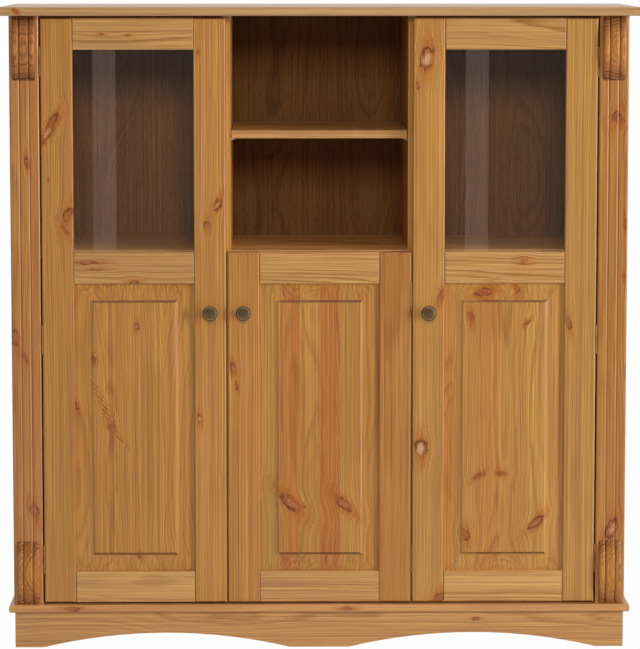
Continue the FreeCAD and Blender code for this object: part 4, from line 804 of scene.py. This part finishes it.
def makeHeadTree(crossed):
    # a low head on every point of the piece: a screw's has a cross recess, a nail's has a second step
    inputs = [
        ("Points", "NodeSocketGeometry", None), ("Head Diameter", "NodeSocketFloat", 0.006),
        ("Head Height", "NodeSocketFloat", 0.0003), ("Finish", "NodeSocketMaterial", None)]
    name = "crossed screw heads" if crossed else "nail heads"
    tree = newGroup(name, "GeometryNodeTree", inputs, [("Heads", "NodeSocketGeometry")])
    tree.is_modifier = True
    given = addNode(tree, "NodeGroupInput")
    shares = [("rim", "Head Diameter", 0.5), ("shoulder", "Head Diameter", 0.44)]
    if crossed:
        shares += [("arm", "Head Diameter", 0.62), ("slit", "Head Diameter", 0.13),
                   ("bite", "Head Height", 1.5)]
    else:
        shares += [("crown", "Head Diameter", 0.28), ("step", "Head Height", 0.55),
                   ("cap", "Head Height", 0.45)]
    sizes = {}
    for label, source, share in shares:
        sizes[label] = addNode(tree, "ShaderNodeMath", {0: given[source], 1: share}, operation="MULTIPLY")[0]
    foot = addNode(tree, "GeometryNodeMeshCone", {
        "Vertices": headSides, "Radius Top": sizes["shoulder"], "Radius Bottom": sizes["rim"],
        "Depth": given["Head Height"] if crossed else sizes["step"]})
    lift = addNode(tree, "ShaderNodeCombineXYZ", {
        "X": 0.0, "Y": 0.0, "Z": given["Head Height"] if crossed else sizes["step"]})
    if crossed:
        arms = []
        for x, y in (("arm", "slit"), ("slit", "arm")):
            size = addNode(tree, "ShaderNodeCombineXYZ", {"X": sizes[x], "Y": sizes[y], "Z": sizes["bite"]})
            bar = addNode(tree, "GeometryNodeMeshCube", {"Size": size[0]})
            arms.append(addNode(
                tree, "GeometryNodeTransform", {"Geometry": bar["Mesh"], "Translation": lift[0]})[0])
        head = addNode(tree, "GeometryNodeMeshBoolean", {
            "Mesh 1": foot["Mesh"], "Mesh 2": arms}, operation="DIFFERENCE")["Mesh"]
    else:
        crown = addNode(tree, "GeometryNodeMeshCone", {
            "Vertices": headSides, "Radius Top": sizes["crown"], "Radius Bottom": sizes["shoulder"],
            "Depth": sizes["cap"]})
        lifted = addNode(tree, "GeometryNodeTransform", {"Geometry": crown["Mesh"], "Translation": lift[0]})
        head = addNode(tree, "GeometryNodeJoinGeometry", {"Geometry": [foot["Mesh"], lifted[0]]})[0]
    facing = addNode(tree, "GeometryNodeInputNamedAttribute", {"Name": "facing"}, data_type="FLOAT_VECTOR")
    turn = addNode(tree, "FunctionNodeAlignRotationToVector", {"Vector": facing["Attribute"]}, axis="Z")
    spin = addNode(tree, "FunctionNodeRandomValue", {"Max": math.tau, "Seed": 7}, data_type="FLOAT")
    spinValue = next(socket for socket in spin if socket.enabled)
    spun = addNode(tree, "FunctionNodeAxisAngleToRotation", {"Axis": (0.0, 0.0, 1.0), "Angle": spinValue})
    rotation = addNode(tree, "FunctionNodeRotateRotation", {
        "Rotation": turn[0], "Rotate By": spun[0]}, rotation_space="LOCAL")
    placed = addNode(tree, "GeometryNodeInstanceOnPoints", {
        "Points": given["Points"], "Instance": head, "Rotation": rotation[0]})
    real = addNode(tree, "GeometryNodeRealizeInstances", {"Geometry": placed[0]})
    finished = addNode(tree, "GeometryNodeSetMaterial", {"Geometry": real[0], "Material": given["Finish"]})
    addNode(tree, "NodeGroupOutput", {"Heads": finished[0]})
    return tree


headTrees = {crossed: makeHeadTree(crossed) for crossed in (True, False)}


def addFasteners(name, body, kind, places):
    # places are points in millimetres with the direction that each head faces
    sizes = fastenerSizes[kind]
    points = bpy.data.meshes.new(f"{name}_points")
    points.from_pydata([[c / 1000 for c in point] for point, _ in places], [], [])
    facing = points.attributes.new("facing", "FLOAT_VECTOR", "POINT")
    facing.data.foreach_set("vector", [c for _, direction in places for c in direction])
    holder = bpy.data.objects.new(f"{name}_holder", points)
    bpy.context.scene.collection.objects.link(holder)
    tree = headTrees[kind.endswith("screw")]
    modifier = holder.modifiers.new("heads", "NODES")
    modifier.node_group = tree
    values = {
        "Head Diameter": sizes["diameter"] / 1000,
        "Head Height": sizes["height"] / 1000,
        "Finish": sizes["finish"],
    }
    for item in tree.interface.items_tree:
        if item.in_out == "INPUT" and item.name in values:
            modifier[item.identifier] = values[item.name]
    evaluated = holder.evaluated_get(bpy.context.evaluated_depsgraph_get())
    mesh = bpy.data.meshes.new_from_object(evaluated)
    holder.modifiers.remove(modifier)
    bpy.data.objects.remove(holder)
    mesh.name = name
    piece = bpy.data.objects.new(name, mesh)
    bpy.context.scene.collection.objects.link(piece)
    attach(piece, body)


def spread(low, high, count):
    return [low + (high - low) * step / (count - 1) for step in range(count)]


def addAllFasteners():
    left, right, back, front = (-1, 0, 0), (1, 0, 0), (0, 1, 0), (0, -1, 0)
    hinge, catch, strike = hingeSettings, catchSettings, strikeSettings
    nail, brad = nailSettings, bradSettings
    tallLevels, centreLevels, flangeLevels = (
        [level + step for level in hinge[levels] for step in hinge[steps]]
        for levels, steps in (
            ("tallLevels", "leafSteps"), ("centreLevels", "leafSteps"), ("centreLevels", "flangeSteps")))
    for body, x, side, levels in (
            ("left_door", -hinge["tallDoorX"], left, tallLevels),
            ("right_door", hinge["tallDoorX"], right, tallLevels),
            ("centre_door", hinge["centreDoorX"], right, centreLevels)):
        addFasteners(f"{body}_hinge_screws", body, "hinge screw",
                     [((x, hinge["leafY"], z), side) for z in levels])
    addFasteners("carcass_hinge_screws", "carcass", "hinge screw",
                 [((-hinge["tallFixedX"], hinge["leafY"], z), right) for z in tallLevels]
                 + [((hinge["tallFixedX"], hinge["leafY"], z), left) for z in tallLevels]
                 + [((hinge["flangeX"], hinge["flangeY"], z), front) for z in flangeLevels])
    addFasteners("catch_screws", "carcass", "catch screw",
                 [((x, catch["y"], z), side)
                  for x, side in zip(catch["faces"], (left, right, right)) for z in catch["levels"]])
    for door, x in strike["doors"].items():
        addFasteners(f"{door}_strike_screws", f"{door}_door", "strike screw",
                     [((x, strike["y"], z), back) for z in strike["levels"]])
    row = nail["row"]
    nails = [(x, z) for x in nail["columns"] for z in spread(nail["low"], nail["high"], nail["count"])]
    nails += [(x, row["level"]) for x in spread(-row["reach"], row["reach"], row["count"])]
    addFasteners("back_nails", "carcass", "back nail", [((x, nail["y"], z), back) for x, z in nails])
    for door, (low, high) in brad["panes"].items():
        # two brads near the ends of each bead strip and one in its middle
        ends = (low - brad["outside"], high + brad["outside"])
        brads = [(x, z) for x in ends for z in spread(brad["low"], brad["high"], brad["count"])]
        brads += [(x, z) for z in brad["levels"]
                  for x in spread(low + brad["inset"], high - brad["inset"], brad["count"])]
        addFasteners(f"{door}_bead_brads", f"{door}_door", "bead brad",
                     [((x, brad["y"], z), back) for x, z in brads])


addAllFasteners()
print("fasteners set")

# Light: a soft lamp above the camera, a broad one from the right, weak ones overhead and behind
lampSettings = {
    "key": {"place": (0.3, -7.1, 3.3), "aim": (0.0, 0.0, 0.75), "size": (1.6, 1.6), "power": 210.0},
    "side": {"place": (6.6, -4.0, 1.7), "aim": (0.0, 0.0, 0.7), "size": (2.2, 3.0), "power": 415.0},
    "overhead": {"place": (0.2, -0.9, 4.4), "aim": (0.0, 0.0, 0.8), "size": (2.4, 1.6), "power": 34.0},
    "rear": {"place": (-1.5, 6.6, 2.6), "aim": (0.0, 0.0, 0.7), "size": (2.0, 2.0), "power": 180.0},
}
shiningLamps = ("side", "overhead")  # the others aren't seen in shine
surroundingsStrength = 0.15
floorSettings = {"size": 60.0, "color": "#D6D6D2", "shownShare": 0.985}
cardSettings = {  # glowing sheets seen only in the panes and in shine, as painted reflections: grey cards that dim the reflections, and two pale strips that paint a streak on each pane
    "front card": {"low": (-2.4, -3.2, 0.02), "high": (2.4, -3.2, 2.4), "color": "#767676"},
    "left card": {"low": (-6.0, -7.0, 0.02), "high": (-6.0, 3.0, 4.0), "color": "#767676"},
    "right card": {"low": (9.0, -9.0, 0.02), "high": (9.0, 4.0, 5.0), "color": "#767676"},
    "left painted reflection strip": {"low": (-0.656, -3.1, 0.3), "high": (-0.586, -3.1, 1.4), "color": "#E9D0C6"},
    "right painted reflection strip": {"low": (0.474, -3.1, 0.3), "high": (0.544, -3.1, 1.4), "color": "#E9D0C6"},
}


def makeLamp(name, settings, shines):
    data = bpy.data.lights.new(name, "AREA")
    data.shape = "RECTANGLE"
    data.size, data.size_y = settings["size"]
    data.energy = settings["power"]
    lamp = bpy.data.objects.new(name, data)
    lamp.location = settings["place"]
    aim = Vector(settings["aim"]) - Vector(settings["place"])
    lamp.rotation_euler = aim.to_track_quat("-Z", "Y").to_euler()
    lamp.visible_glossy = shines
    lamp.visible_camera = False
    bpy.context.scene.collection.objects.link(lamp)


def makeSheet(name, corners, material):
    mesh = bpy.data.meshes.new(name)
    mesh.from_pydata(corners, [], [(0, 1, 2, 3)])
    mesh.materials.append(material)
    sheet = bpy.data.objects.new(name, mesh)
    bpy.context.scene.collection.objects.link(sheet)
    return sheet


def addShownRays(tree):
    # 1 for the rays that show the background: straight from the camera, mirrored or through glass
    path = addNode(tree, "ShaderNodeLightPath")
    seen = addNode(tree, "ShaderNodeMath", {
        0: path["Is Camera Ray"], 1: path["Is Transmission Ray"]}, operation="MAXIMUM")
    return addNode(tree, "ShaderNodeMath", {0: seen[0], 1: path["Is Glossy Ray"]}, operation="MAXIMUM")[0]


def makeSurroundings():
    world = bpy.data.worlds.new("pale surroundings")
    bpy.context.scene.world = world
    world.use_nodes = True
    tree = world.node_tree
    tree.nodes.clear()
    white = addNode(tree, "ShaderNodeBackground", {"Color": (1.0, 1.0, 1.0, 1.0), "Strength": 1.0})
    ambient = addNode(
        tree, "ShaderNodeBackground", {"Color": (1.0, 1.0, 1.0, 1.0), "Strength": surroundingsStrength})
    mixed = addNode(tree, "ShaderNodeMixShader", {0: addShownRays(tree), 1: ambient[0], 2: white[0]})
    addNode(tree, "ShaderNodeOutputWorld", {"Surface": mixed[0]})


def makeFloor():
    # white to the eye, with a faint shadow of the cabinet left in it
    material, tree = newMaterial("white paper floor")
    share = addNode(tree, "ShaderNodeMath", {
        0: addShownRays(tree), 1: floorSettings["shownShare"]}, operation="MULTIPLY")
    paper = addNode(tree, "ShaderNodeBsdfDiffuse", {"Color": linearColor(floorSettings["color"])})
    white = addNode(tree, "ShaderNodeEmission", {"Color": (1.0, 1.0, 1.0, 1.0), "Strength": 1.0})
    mixed = addNode(tree, "ShaderNodeMixShader", {0: share[0], 1: paper[0], 2: white[0]})
    addNode(tree, "ShaderNodeOutputMaterial", {"Surface": mixed[0]})
    half = floorSettings["size"] / 2
    makeSheet("floor", [(-half, -half, 0), (half, -half, 0), (half, half, 0), (-half, half, 0)], material)


# the glowing sheets are painted reflections, not lamps: they light nothing and cast no shadow
def makeCards():
    for name, card in cardSettings.items():
        material, tree = newMaterial(f"studio {name}")
        glow = addNode(tree, "ShaderNodeEmission", {"Color": linearColor(card["color"]), "Strength": 1.0})
        addNode(tree, "ShaderNodeOutputMaterial", {"Surface": glow[0]})
        (x0, y0, z0), (x1, y1, z1) = card["low"], card["high"]
        corners = [(x0, y0, z0), (x0, y0, z1), (x1, y1, z1), (x1, y1, z0)]
        sheet = makeSheet(f"studio_{name.replace(' ', '_')}", corners, material)
        sheet.visible_camera = sheet.visible_diffuse = sheet.visible_shadow = False


for lampName, settings in lampSettings.items():
    makeLamp(f"{lampName} lamp", settings, lampName in shiningLamps)
makeSurroundings()
makeFloor()
makeCards()
bpy.context.scene.view_settings.view_transform = "Standard"
print("lit")
